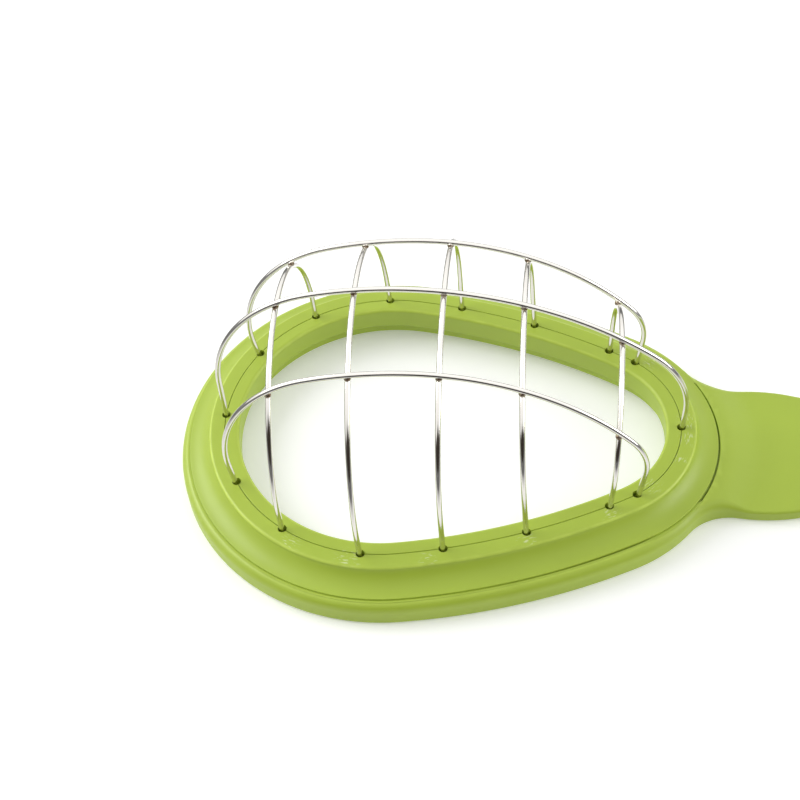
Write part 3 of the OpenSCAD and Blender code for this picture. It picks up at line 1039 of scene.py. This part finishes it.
@dataclass
class HandleFrame:
    """The frame: flange, shelf for the rings and paddle handle, hollow underneath.

    Args:
        cage: Where the rings stand.
        outline: Its outline.
        top_z, plate_z: Heights of its top face and of the plate's underside.
        rim_w, top_edge_r, low_edge_r: Its rim.
        hidden_edge_r: Rounding of its inner edges.
        rebate, rebate_r: Distance of the rings' rebate from the seam, and its rounding.
        shelf_lap: How far the shelf reaches inwards under the inner ring.
        hole_r, hole_edge_r, boss_w: Hanging hole and the wall round it.
        bore_steps: Steps round the hanging hole.
        handle_z: Height of the handle's top face.
        slope_start, slope_w: Where the slope down to the handle starts, from the rebate, and its width.
        slope_half, slope_fade: Half the angle that the slope takes round the narrow end, and how much
            of it is a soft side.
        edge_share: Handle's edge rounding as a share of the flange's.
        neck: Where the faces that slope lie, from the fat end's centre.
        slope_from, slope_to, cross_cuts: Cuts across the slope, from the fat end's centre.
        side_pitch, side_cuts: Cuts along the slope, as many on each side of the middle.
        rib_count, rib_w, rib_lift, rib_sink: Ribs under the handle, from how high to how far into the plate.
        rib_from, rib_to: Distance of the first and last rib from the shoulder and the boss.
        chord: Length of one step round the frame.
        highlight_out, rub, highlight_depth: Where outside the rebate the highlight painted along its edge is
        strongest, how strong, and how far under the top face.
    """

    cage: Cage
    outline: Paddle = Paddle()
    top_z: float = 5.5
    plate_z: float = 1.8
    rim_w: float = 2.4
    top_edge_r: float = 2.0
    low_edge_r: float = 0.8
    hidden_edge_r: float = 0.2
    rebate: float = 8.08
    rebate_r: float = 0.16
    shelf_lap: float = 1.6
    hole_r: float = 3.5
    hole_edge_r: float = 0.5
    boss_w: float = 2.6
    bore_steps: int = 64
    handle_z: float = 3.0
    slope_start: float = 0.4
    slope_w: float = 8.6
    slope_half: float = 75.0
    slope_fade: float = 20.0
    edge_share: float = 0.3
    neck: tuple[float, float] = (48.0, 90.0)
    slope_from: float = 56.0
    slope_to: float = 82.0
    cross_cuts: int = 26
    side_pitch: float = 1.5
    side_cuts: int = 13
    rib_count: int = 4
    rib_w: float = 1.6
    rib_lift: float = 0.6
    rib_sink: float = 0.5
    rib_from: float = 6.0
    rib_to: float = 4.0
    chord: float = 1.1
    highlight_out: float = 0.3
    painted_highlight: float = 0.5
    highlight_depth: float = 0.4

    def _rim(self, bm: Mesh, at: float) -> Pen:
        """Draws the rim's section, from the plate's underside out and up to the top face.

        Args:
            bm: Mesh to draw in.
            at: X of the outline.

        Returns:
            The pen.
        """
        w, r, f, e = self.rim_w, self.top_edge_r, self.low_edge_r, self.hidden_edge_r
        pen = Pen(bm, at, -w, self.plate_z)
        pen.line(-w, e).arc(-w + e, e, 90, steps=2)
        pen.line(-f, 0).arc(-f, f, 90, steps=5)
        return pen.line(0, self.top_z - r).arc(-r, self.top_z - r, 90, steps=10)

    def _throat(self, bm: Mesh, at: float) -> Pen:
        """Draws the rebate and the shelf, from the top face down to the plate's underside.

        Args:
            bm: Mesh to draw in.
            at: X of the seam.

        Returns:
            The pen.
        """
        r, e, shelf_z = self.rebate_r, self.hidden_edge_r, self.cage.shelf_z
        pen = Pen(bm, at, self.rebate + r, self.top_z)
        pen.arc(self.rebate + r, self.top_z - r, 90, steps=3)
        pen.line(self.rebate, shelf_z).line(-self.shelf_lap + e, shelf_z, steps=2)
        pen.arc(-self.shelf_lap + e, shelf_z - e, 90, steps=3)
        return pen.line(-self.shelf_lap, self.plate_z)

    def _bore(self) -> Mesh:
        """Makes the hanging hole and its boss.

        Returns:
            Their wall, from the top face to the plate's underside.
        """
        bm = bmesh.new()
        x = self.cage.fat_x + self.outline.end_x
        r, h, e = self.hole_r, self.hole_edge_r, self.hidden_edge_r
        pen = Pen(bm, x, r + h, self.top_z)
        pen.arc(r + h, self.top_z - h, 90, steps=5)
        pen.line(r, e).arc(r + e, e, 90, steps=3)
        pen.line(r + self.boss_w, 0).line(r + self.boss_w, self.plate_z)
        bmesh.ops.spin(
            bm,
            geom=pen.geom,
            cent=(x * MM, 0, 0),
            axis=UP,
            angle=math.tau,
            steps=self.bore_steps,
            use_merge=True,
            use_duplicate=False,
        )
        return bm

    def _ribs(self, bm: Mesh) -> None:
        """Adds the ribs under the handle, closed boxes that run into the rim.

        Args:
            bm: The frame's mesh.
        """
        first = self.outline.shoulder_x + self.rib_from
        last = self.outline.end_x - self.hole_r - self.boss_w - self.rib_to
        top = self.plate_z + self.rib_sink
        for i in range(self.rib_count):
            x = first + (last - first) * i / (self.rib_count - 1)
            half = self._half_width(x) - self.rim_w / 2
            size = Matrix.Diagonal((self.rib_w * MM, 2 * half * MM, (top - self.rib_lift) * MM, 1))
            place = Matrix.Translation(((self.cage.fat_x + x) * MM, 0, (top + self.rib_lift) / 2 * MM))
            bmesh.ops.create_cube(bm, size=1.0, matrix=place @ size)

    def _half_width(self, x: float) -> float:
        """Works out how wide the handle is.

        Args:
            x: Distance from the fat end's centre.

        Returns:
            Half the width there.
        """
        waist = self.outline.arcs()[1]
        dip = waist.radius**2 - (x - waist.x) ** 2
        return waist.y - math.sqrt(dip) if dip > 0 else self.outline.end_r

    def _share(self, p: Vector) -> float:
        """Works out how far down the slope a point lies.

        Args:
            p: The point, in metres.

        Returns:
            From 0 on the flange to 1 on the handle.
        """
        seam = self.cage.seam
        x, y = p.x / MM - self.cage.fat_x - seam.centres, p.y / MM
        along = (math.hypot(x, y) - seam.tip_r - self.rebate - self.slope_start) / self.slope_w
        side = (self.slope_half - abs(math.degrees(math.atan2(y, x)))) / self.slope_fade
        return ease(along) * ease(side)

    def _step_down(self, bm: Mesh) -> None:
        """Presses the handle's top down to its height, with an even slope from the flange.

        Args:
            bm: The frame's mesh.
        """
        x0, x1 = ((self.cage.fat_x + x) * MM for x in (self.slope_from, self.slope_to))
        for k in range(self.cross_cuts + 1):
            self._slice(bm, (x0 + (x1 - x0) * k / self.cross_cuts, 0, 0), (1, 0, 0))
        for k in range(-self.side_cuts, self.side_cuts + 1):
            self._slice(bm, (0, k * self.side_pitch * MM, 0), (0, 1, 0))
        arcs, slack = self.outline.arcs(), 0.01
        foot = self.top_z - self.top_edge_r
        base = self.handle_z - self.edge_share * self.top_edge_r
        for v in bm.verts:
            share, z = self._share(v.co), v.co.z / MM
            if share == 0 or z < foot - slack:
                continue
            inside, out, _ = depth(arcs, v.co / MM - Vector((self.cage.fat_x, 0, 0)))
            if inside < self.top_edge_r + slack:
                v.co += out * (1 - self.edge_share) * inside * share * MM
            v.co.z = (z + (base + (z - foot) * self.edge_share - z) * share) * MM

    def _slice(self, bm: Mesh, at: Triple, normal: Triple) -> None:
        """Cuts the frame's top along a plane, so that it can slope.

        Args:
            bm: The frame's mesh.
            at, normal: A point of the plane, in metres, and its normal.
        """
        slack, flat = 0.01, 0.99
        lo, hi = ((self.cage.fat_x + x) * MM for x in self.neck)
        top = [f for f in bm.faces if all(v.co.z > (self.top_z - slack) * MM for v in f.verts)]
        faces = [f for f in top if f.normal.z > flat or all(lo < v.co.x < hi for v in f.verts)]
        verts = dict.fromkeys(v for f in faces for v in f.verts)
        edges = dict.fromkeys(e for f in faces for e in f.edges)
        bmesh.ops.bisect_plane(bm, geom=[*verts, *edges, *faces], plane_co=at, plane_no=normal, dist=ON_PLANE)

    def build(self, plastic: Material) -> None:
        """Builds the frame.

        Args:
            plastic: Its material.
        """
        bm = sweep(self.outline.arcs(), self._rim, self.cage.fat_x, self.chord)
        add_mesh(bm, sweep(self.cage.seam.arcs(), self._throat, self.cage.fat_x, self.chord))
        add_mesh(bm, self._bore())
        for z in (self.top_z, self.plate_z):
            bmesh.ops.triangle_fill(bm, edges=open_edges(bm, z), use_beauty=True, use_dissolve=False)
        outwards(bm)
        self._step_down(bm)
        self._ribs(bm)
        obj = make_object(bm, "handle_frame", plastic)
        paint(obj, "wear", lambda _: 0.0)
        # Painted highlight along the frame's edge beside the groove
        edge = PaintedHighlight(self.rebate + self.highlight_out, self.painted_highlight)
        mark_edges(obj, self.cage, [edge], self.top_z - self.highlight_depth)
        finish_shading(obj)
        stand_for(obj, "handle_frame")


# ---- wires ---------------------------------------------------------------------------------


@dataclass(frozen=True)
class Half:
    """Half of a bent wire, from its top down: a flat crown arc, a shoulder and a leg.

    Args:
        reach: Distance from the top to the hole.
        crown_r, crown_a: Radius and angle of the crown arc.
        tuck: How far the leg leans in at its foot.
    """

    reach: float
    crown_r: float
    crown_a: float
    tuck: float

    def shoulder(self, rise: float) -> float:
        """Works out the shoulder that joins the crown to the leg.

        Args:
            rise: Height of the top over the hole.

        Returns:
            The shoulder's radius.
        """
        a, t = math.radians(self.crown_a), math.radians(self.tuck)
        y = self.reach - self.crown_r * math.sin(a)
        z = rise - self.crown_r * (1 - math.cos(a))
        det = (math.cos(t) - math.sin(a)) * math.cos(t) + math.sin(t) * (math.cos(a) + math.sin(t))
        return (y * math.cos(t) + z * math.sin(t)) / det


@dataclass(frozen=True)
class LongBend:
    """How a long wire is bent.

    Args:
        rise: Height of its top over the seam.
        apex: Where its top is, from the fat end's centre.
        fat, tip: Crown radius, crown angle and tuck of its halves towards the fat end and the handle.
    """

    rise: float
    apex: float
    fat: Triple
    tip: Triple


class Bender:
    """Bends a wire in the XZ plane as a wire-bending machine does, by feeding and bending."""

    SIDES = 20
    STRAIGHT_STEP = 2.0
    BEND_STEP = 1.0
    BEND_DEGREES = 3.0

    def __init__(self, d: float, x: float, z: float, heading: float) -> None:
        """Starts the wire.

        Args:
            d: Wire diameter.
            x, z: Where it starts.
            heading: Its direction from +X towards +Z.
        """
        self.bm = bmesh.new()
        self.x, self.z, self.heading = x, z, heading
        face = bmesh.ops.create_circle(self.bm, cap_ends=True, radius=d / 2 * MM, segments=self.SIDES)
        place = Matrix.Translation((x * MM, 0, z * MM)) @ Matrix.Rotation(math.radians(90 - heading), 4, "Y")
        bmesh.ops.transform(self.bm, matrix=place, verts=face["verts"])
        self.edges: list[Edge] = list(self.bm.edges)

    def feed(self, length: float, step: float = STRAIGHT_STEP) -> Bender:
        """Feeds a straight length of wire.

        Args:
            length: The length.
            step: Length of one ring of faces.

        Returns:
            The bender.
        """
        a = math.radians(self.heading)
        n = max(1, round(length / step))
        on = (math.cos(a) * length / n * MM, 0, math.sin(a) * length / n * MM)
        for _ in range(n):
            made = bmesh.ops.extrude_edge_only(self.bm, edges=self.edges)["geom"]
            self.edges = [g for g in made if isinstance(g, Edge)]
            bmesh.ops.translate(self.bm, verts=[g for g in made if isinstance(g, bmesh.types.BMVert)], vec=on)
        self.x += math.cos(a) * length
        self.z += math.sin(a) * length
        return self

    def bend(self, radius: float, degrees: float) -> Bender:
        """Bends the wire.

        Args:
            radius: Radius of the bend.
            degrees: Its angle, from +X towards +Z when it is positive.

        Returns:
            The bender.
        """
        side = 1 if degrees > 0 else -1
        a, turn = math.radians(self.heading), math.radians(degrees)
        cx, cz = self.x - side * radius * math.sin(a), self.z + side * radius * math.cos(a)
        by_angle = max(3, math.ceil(abs(degrees) / self.BEND_DEGREES))
        made = bmesh.ops.spin(
            self.bm,
            geom=self.edges,
            cent=(cx * MM, 0, cz * MM),
            axis=BACKWARDS,
            angle=turn,
            steps=max(by_angle, round(abs(turn) * radius / self.BEND_STEP)),
            use_duplicate=False,
        )
        self.edges = [g for g in made["geom_last"] if isinstance(g, Edge)]
        dx, dz = self.x - cx, self.z - cz
        self.x = cx + dx * math.cos(turn) - dz * math.sin(turn)
        self.z = cz + dx * math.sin(turn) + dz * math.cos(turn)
        self.heading += degrees
        return self

    def cut_off(self) -> Mesh:
        """Closes the wire's end.

        Returns:
            The wire's mesh.
        """
        bmesh.ops.contextual_create(self.bm, geom=self.edges)
        outwards(self.bm)
        return self.bm


@dataclass
class WireCage:
    """The cage: three long wires lie over five cross wires, welded where they cross.

    Args:
        cage: Where the wires enter the rings.
        bends: How each long wire is bent.
        lean, tuck: Lean of each cross wire's plane and of its legs.
        weld_gap: Space between crossing wires.
        bead_d: Diameter of a weld bead before it is squeezed.
        bead_squeeze, bead_lump: Its size after that, and how uneven it is, as shares.
        lump_scale: Lumps per millimetre.
        crown_past: How far a cross wire's crown arc goes past its outer beads.
        foot_bend_r, toe_len, toe_step, foot_gap: The foot of each wire in its pocket.
        heat_reach, heat_fade: Where the heat tint ends, from a weld's centre, and over what length.
        welds: The welds of each long wire, from the fat end, in metres.
    """

    cage: Cage
    bends: dict[Row, LongBend] = field(
        default_factory=lambda: {
            Row.FRONT: LongBend(34.2, 7.4, (70, 16, 7), (56.6, 47, 8)),
            Row.MIDDLE: LongBend(38.4, 5.0, (74, 14.3, 0), (75, 40, 3)),
            Row.BACK: LongBend(34.2, 7.4, (70, 16, 10), (56.6, 47, 8)),
        }
    )
    lean: tuple[float, ...] = (-2, -2.4, -0.8, -2.2, 3)
    tuck: tuple[float, ...] = (0, 0, 1.5, 2, 5)
    weld_gap: float = 0.03
    bead_d: float = 1.6
    bead_squeeze: float = 0.86
    bead_lump: float = 0.07
    lump_scale: float = 1.8
    crown_past: float = 0.1
    foot_bend_r: float = 1.1
    toe_len: float = 1.1
    toe_step: float = 1.0
    foot_gap: float = 0.05
    heat_reach: float = 2.1
    heat_fade: float = 1.3
    welds: dict[Row, list[Vector]] = field(default_factory=dict)

    def __post_init__(self) -> None:
        """Works out the depth of the toes and where the wires cross."""
        self.toe_depth = self.cage.top_z - self.cage.shelf_z - self.cage.wire_d / 2 - self.foot_gap
        self.welds = {row: [self._weld(row, i) for i in range(self.cage.cross_count)] for row in Row}

    def _shift(self, degrees: float) -> float:
        """Returns how far a leaning leg stands off its hole's middle at the top face."""
        return self.toe_depth / 2 * math.tan(math.radians(degrees))

    def _long_halves(self, row: Row) -> tuple[Half, Half]:
        """Works out the halves of a long wire.

        Args:
            row: Which long wire.

        Returns:
            The half towards the fat end and the half towards the handle.
        """
        seam, bend, y = self.cage.seam, self.bends[row], self.cage.row_y(row)
        fat = Half(bend.apex - seam.fat_x(y) + self._shift(bend.fat[2]), *bend.fat)
        tip = Half(seam.tip_x(y) - bend.apex + self._shift(bend.tip[2]), *bend.tip)
        return fat, tip

    def _long_at(self, row: Row, x: float) -> tuple[float, float]:
        """Follows a long wire.

        Args:
            row: Which long wire.
            x: Distance from the fat end's centre.

        Returns:
            Its height over the seam there, and its slope.
        """
        bend, (fat, tip) = self.bends[row], self._long_halves(row)
        half, d = (fat, bend.apex - x) if x < bend.apex else (tip, x - bend.apex)
        a = math.radians(half.crown_a)
        r, cx, cz = half.crown_r, 0.0, bend.rise - half.crown_r
        if d > r * math.sin(a):
            shoulder = half.shoulder(bend.rise)
            cx, cz, r = (r - shoulder) * math.sin(a), cz + (r - shoulder) * math.cos(a), shoulder
        return cz + math.sqrt(r * r - (d - cx) ** 2), math.degrees(math.asin((d - cx) / r))

    def _cross_x(self, i: int, s: float) -> float:
        """Returns X of a cross wire's plane at a height s up its lean."""
        return self.cage.cross_xs()[i] + self._shift(self.lean[i]) + s * math.sin(math.radians(self.lean[i]))

    def _height_under(self, row: Row, i: int, b: float) -> float:
        """Works out where a cross wire passes under a long wire.

        Args:
            row: Which long wire.
            i: Which cross wire.
            b: The cross wire's own slope there.

        Returns:
            The height up the cross wire's plane.
        """
        s, rounds = self.bends[row].rise, 6
        cb, sb = math.cos(math.radians(b)), math.sin(math.radians(b))
        for _ in range(rounds):
            h, slope = self._long_at(row, self._cross_x(i, s))
            ca = math.cos(math.radians(slope))
            drop = (self.cage.wire_d + self.weld_gap) * math.sqrt(cb**2 + (ca * sb) ** 2) / (ca * cb)
            s = (h - drop) / math.cos(math.radians(self.lean[i]))
        return s

    def _crown(self, i: int) -> tuple[float, float]:
        """Fits a cross wire's crown arc under the long wires.

        Args:
            i: Which cross wire.

        Returns:
            The cross wire's rise and the arc's radius.
        """
        y, b, rounds = self.cage.outer_y, 30.0, 7
        top = self._height_under(Row.MIDDLE, i, 0)
        for _ in range(rounds):
            drop = top - self._height_under(Row.BACK, i, b)
            r = (y * y + drop * drop) / (2 * drop)
            b = math.degrees(math.asin(y / r))
        return top, r

    def _weld(self, row: Row, i: int) -> Vector:
        """Finds a weld.

        Args:
            row: Which long wire.
            i: Which cross wire.

        Returns:
            The middle between the two wires where they cross, in metres.
        """
        cage = self.cage
        b = math.degrees(math.asin(abs(cage.row_y(row)) / self._crown(i)[1]))
        h = self._height_under(row, i, b)
        x = self._cross_x(i, h)
        z = cage.top_z + (h * math.cos(math.radians(self.lean[i])) + self._long_at(row, x)[0]) / 2
        return Vector(((cage.fat_x + x) * MM, cage.row_y(row) * MM, z * MM))

    def _leg(self, rise: float, half: Half) -> tuple[float, float]:
        """Works out a leg and where its foot stands.

        Args:
            rise: The wire's rise.
            half: The half wire.

        Returns:
            The leg's length, and the distance from the top to where the toe's bend ends.
        """
        t, a = math.radians(half.tuck), math.radians(half.crown_a)
        shoulder = half.shoulder(rise)
        x = (half.crown_r - shoulder) * math.sin(a) + shoulder * math.cos(t)
        z = rise - half.crown_r + (half.crown_r - shoulder) * math.cos(a) - shoulder * math.sin(t)
        knee = -self.toe_depth + self.foot_bend_r * (1 + math.sin(t))
        return (z - knee) / math.cos(t), x - (z - knee) * math.tan(t) + self.foot_bend_r * math.cos(t)

    def _bend(self, rise: float, left: Half, right: Half) -> Mesh:
        """Bends a whole wire in the XZ plane, from its left toe to its right one, Z = 0 at the seam.

        Args:
            rise: Height of its top.
            left, right: Its halves.

        Returns:
            The wire's mesh.
        """
        (leg_l, foot), (leg_r, _) = self._leg(rise, left), self._leg(rise, right)
        wire = Bender(self.cage.wire_d, -foot - self.toe_len, -self.toe_depth, 0)
        wire.feed(self.toe_len, self.toe_step).bend(self.foot_bend_r, 90 + left.tuck).feed(leg_l)
        wire.bend(left.shoulder(rise), left.crown_a - left.tuck - 90).bend(left.crown_r, -left.crown_a)
        wire.bend(right.crown_r, -right.crown_a).bend(right.shoulder(rise), right.crown_a - right.tuck - 90)
        wire.feed(leg_r).bend(self.foot_bend_r, 90 + right.tuck).feed(self.toe_len, self.toe_step)
        return wire.cut_off()

    def _heat(self, p: Vector) -> float:
        """Returns how far the heat of the nearest weld tints a wire at a place in metres."""
        near = min((p - weld).length for row in self.welds.values() for weld in row) / MM
        return max(0.0, min(1.0, (self.heat_reach - near) / self.heat_fade))

    def build(self, steel: Material, weld: Material) -> None:
        """Builds all wires and weld beads.

        Args:
            steel: The wires' material.
            weld: The beads' material.
        """
        cage = self.cage
        for row, bend in self.bends.items():
            place = Matrix.Translation(((cage.fat_x + bend.apex) * MM, cage.row_y(row) * MM, cage.top_z * MM))
            bm = self._bend(bend.rise, *self._long_halves(row))
            self._add_wire(bm, f"long_wire_{row.name.lower()}", place, steel)
        for i, x in enumerate(cage.cross_xs()):
            rise, r = self._crown(i)
            angle = math.degrees(math.asin((cage.outer_y + self.bead_d / 2 + self.crown_past) / r))
            half = Half(cage.seam.half_width(x) + self._shift(self.tuck[i]), r, angle, self.tuck[i])
            place = Matrix.Translation(((cage.fat_x + self._cross_x(i, 0)) * MM, 0, cage.top_z * MM))
            lean = Matrix.Rotation(math.radians(self.lean[i]), 4, "Y")
            place = place @ lean @ Matrix.Rotation(math.pi / 2, 4, "Z")
            self._add_wire(self._bend(rise, half, half), f"cross_wire_{i + 1}", place, steel)
        for row, places in self.welds.items():
            self._add_beads(f"weld_beads_{row.name.lower()}", places, weld)

    def _add_wire(self, bm: Mesh, name: str, place: Matrix, steel: Material) -> None:
        """Puts a bent wire in its place.

        Args:
            bm: The wire's mesh, which is freed.
            name: Name of the wire and of its node.
            place: Where it stands.
            steel: Its material.
        """
        bmesh.ops.transform(bm, matrix=place, verts=bm.verts)
        obj = make_object(bm, name, steel)
        paint(obj, "heat", self._heat)
        finish_shading(obj, WIRE_CREASE)
        stand_for(obj, name)

    def _add_beads(self, name: str, places: Sequence[Vector], weld: Material) -> None:
        """Adds the beads under one long wire, each a lumpy squeezed collar.

        Args:
            name: Name of the beads and of their node.
            places: Centres of the beads, in metres.
            weld: Their material.
        """
        bm = bmesh.new()
        for k, centre in enumerate(places):
            made = bmesh.ops.create_icosphere(bm, subdivisions=4, radius=self.bead_d / 2 * MM)["verts"]
            seed = Vector((7.3 * k, 0, 3.1))
            for v in made:
                lump = 1 + self.bead_lump * smooth_noise(v.co / MM * self.lump_scale + seed)
                v.co *= lump * self.bead_squeeze
            bmesh.ops.translate(bm, verts=made, vec=centre)
        obj = make_object(bm, name, weld)
        finish_shading(obj, BEAD_CREASE)
        stand_for(obj, name)


# ---- scene ---------------------------------------------------------------------------------


@dataclass(frozen=True)
class Lamp:
    """A square area lamp that looks at the object.

    Args:
        name: Its name.
        place: Where it stands, in metres.
        size: Its side in metres.
        watts: Its power.
        aim: What it looks at, in metres.
    """

    name: str
    place: Triple
    size: float
    watts: float
    aim: Triple = (-0.04, 0, 0.02)

    def build(self) -> None:
        """Adds the lamp to the scene."""
        data = bpy.data.lights.new(self.name, "AREA")
        data.shape, data.size, data.energy = "SQUARE", self.size, self.watts
        obj = bpy.data.objects.new(self.name, data)
        obj.location = self.place
        ray = Vector(self.aim) - Vector(self.place)
        obj.rotation_euler = ray.to_track_quat("-Z", "Y").to_euler()
        bpy.context.scene.collection.objects.link(obj)


@dataclass(frozen=True)
class Studio:
    """A pale floor, soft lamps and the camera.

    Args:
        eye: Camera place in millimetres.
        lens, sensor: Focal length and sensor width in millimetres.
        near_clip, far_clip: The camera's clipping distances in metres.
        right, up, back: Directions of the camera's axes.
        dome: Tones of the light tent at the sine of an elevation over its own axis.
        dome_strength: Its overall strength.
        dome_gloss: Its strength in reflections.
        dome_drop: How much lower it opens in reflections.
        side_open: How much lower it opens to the left and right.
        tent_axis: Which way the tent opens.
        floor_half, floor_tone, floor_roughness: Half the floor's side in metres, its tone and its gloss.
        floor_lift, far_lift: Light that the floor adds near the object and far from it.
        lift_from, lift_to: Distances in metres between which that light grows.
        floor_gloss: How pale its far part is in reflections, which see a small sheet in a dim room.
        sheet: Distances in metres from the object between which that sheet ends.
        middle: The object's middle on the floor, in metres.
        lamps: The lamps.
    """

    eye: Triple = (-22.94, -201.27, 258.56)
    lens: float = 70.69
    sensor: float = 36.0
    near_clip: float = 0.01
    far_clip: float = 60.0
    right: Triple = (0.994851, 0.082886, -0.058334)
    up: Triple = (-0.026435, 0.767808, 0.640136)
    back: Triple = (0.097848, -0.635297, 0.766044)
    dome: tuple[tuple[float, Triple], ...] = (
        (0.0, (0.03, 0.024, 0.0195)),
        (0.24, (0.04, 0.032, 0.026)),
        (0.36, (0.8, 0.8, 0.8)),
        (0.8, (1.0, 1.0, 1.0)),
    )
    dome_strength: float = 0.68
    dome_gloss: float = 1.35
    dome_drop: float = 0.06
    side_open: float = 0.4
    tent_axis: Triple = (-0.08, 0.35, 0.933)
    floor_half: float = 18.0
    floor_tone: float = 0.93
    floor_roughness: float = 0.9
    floor_lift: float = 0.22
    far_lift: float = 0.8
    lift_from: float = 0.3
    lift_to: float = 1.0
    floor_gloss: float = 0.1
    sheet: tuple[float, float] = (0.06, 0.13)
    middle: Triple = (-0.04, 0, 0)
    lamps: tuple[Lamp, ...] = (
        Lamp("key", (-0.6, 0.12, 0.45), size=0.5, watts=3.3),
        Lamp("fill", (0.85, 0.0, 0.25), size=0.5, watts=3.2),
    )

    def _camera(self) -> None:
        """Adds the camera."""
        data = bpy.data.cameras.new("camera")
        data.lens, data.sensor_width = self.lens, self.sensor
        data.clip_start, data.clip_end = self.near_clip, self.far_clip
        obj = bpy.data.objects.new("camera", data)
        turn = Matrix((self.right, self.up, self.back)).transposed()
        obj.matrix_world = Matrix.Translation(Vector(self.eye) * MM) @ turn.to_4x4()
        bpy.context.scene.collection.objects.link(obj)
        bpy.context.scene.camera = obj

    def _floor(self) -> None:
        """Adds the floor, which shows white to the camera and keeps the shadow."""
        bm = bmesh.new()
        bmesh.ops.create_grid(bm, x_segments=1, y_segments=1, size=self.floor_half)
        mat, tree, bsdf = start_material("pale_floor")
        glossy = add_node(tree, "LightPath")["Is Glossy Ray"]
        coords = add_node(tree, "TexCoord")["Object"]
        distance = {"operation": "DISTANCE"}
        away = add_node(tree, "VectorMath", {0: coords, 1: self.middle}, distance)["Value"]
        near, far = self.sheet
        fade = {"Value": away, "From Min": near, "From Max": far}
        dim = add_node(tree, "MapRange", {**fade, "To Min": self.floor_tone, "To Max": self.floor_gloss})[0]
        pale = add_node(tree, "Mix", {"Factor": glossy, "A": self.floor_tone, "B": dim})[0]
        grow = {"Value": away, "From Min": self.lift_from, "From Max": self.lift_to}
        lift = add_node(tree, "MapRange", {**grow, "To Min": self.floor_lift, "To Max": self.far_lift})[0]
        surface = {
            "Base Color": pale,
            "Roughness": self.floor_roughness,
            "Emission Color": pale,
            "Emission Strength": lift,
        }
        feed(tree, bsdf, surface)
        make_object(bm, "floor", mat)

    def _world(self) -> None:
        """Sets the light tent: white overhead and at the sides, dim at the horizon before and behind."""
        world = bpy.data.worlds.new("studio")
        bpy.context.scene.world = world
        world.use_nodes = True
        tree = world.node_tree
        dot = {"operation": "DOT_PRODUCT"}
        rays = add_node(tree, "LightPath")
        coords = add_node(tree, "TexCoord")["Generated"]
        up = add_node(tree, "VectorMath", {0: coords, 1: self.tent_axis}, dot)["Value"]
        sides = add_node(tree, "VectorMath", {0: coords}, {"operation": "ABSOLUTE"})[0]
        aside = add_node(tree, "VectorMath", {0: sides, 1: (self.side_open, 0, 0)}, dot)["Value"]
        wide = add_node(tree, "Math", {0: aside, 1: up}, {"operation": "ADD"})[0]
        lowered = {0: rays["Is Glossy Ray"], 1: -self.dome_drop, 2: wide}
        height = add_node(tree, "Math", lowered, TIMES_PLUS)[0]
        tones = [(place, (*tone, 1)) for place, tone in self.dome]
        shade = add_node(tree, "ValToRGB", {"Fac": height}, stops=tones)["Color"]
        # Where it is seen past the floor or through glass, it is the white background
        seen = add_node(tree, "Math", {0: rays["Is Camera Ray"], 1: rays["Is Transmission Ray"]}, LARGER)[0]
        bright = {"Value": rays["Is Glossy Ray"], "To Min": self.dome_strength, "To Max": self.dome_gloss}
        level = add_node(tree, "MapRange", bright)[0]
        light = {
            "Color": add_node(tree, "Mix", {FACTOR: seen, FIRST: shade, SECOND: WHITE}, RGBA_MIX)[2],
            "Strength": add_node(tree, "Math", {0: level, 1: seen}, LARGER)[0],
        }
        feed(tree, tree.nodes["Background"], light)

    def build(self) -> None:
        """Builds the studio."""
        self._camera()
        self._floor()
        self._world()
        for lamp in self.lamps:
            lamp.build()
        bpy.context.scene.view_settings.view_transform = "Standard"


def main() -> None:
    logging.basicConfig(level=logging.INFO, format="%(name)s: %(message)s")
    cage = Cage()
    plastic = MouldedABS().build()
    steel = DrawnStainless().build()
    weld = WeldMetal().build()
    Rings(cage).build(plastic)
    HandleFrame(cage).build(plastic)
    WireCage(cage).build(steel, weld)
    Studio().build()


if __name__ == "__main__":
    main()
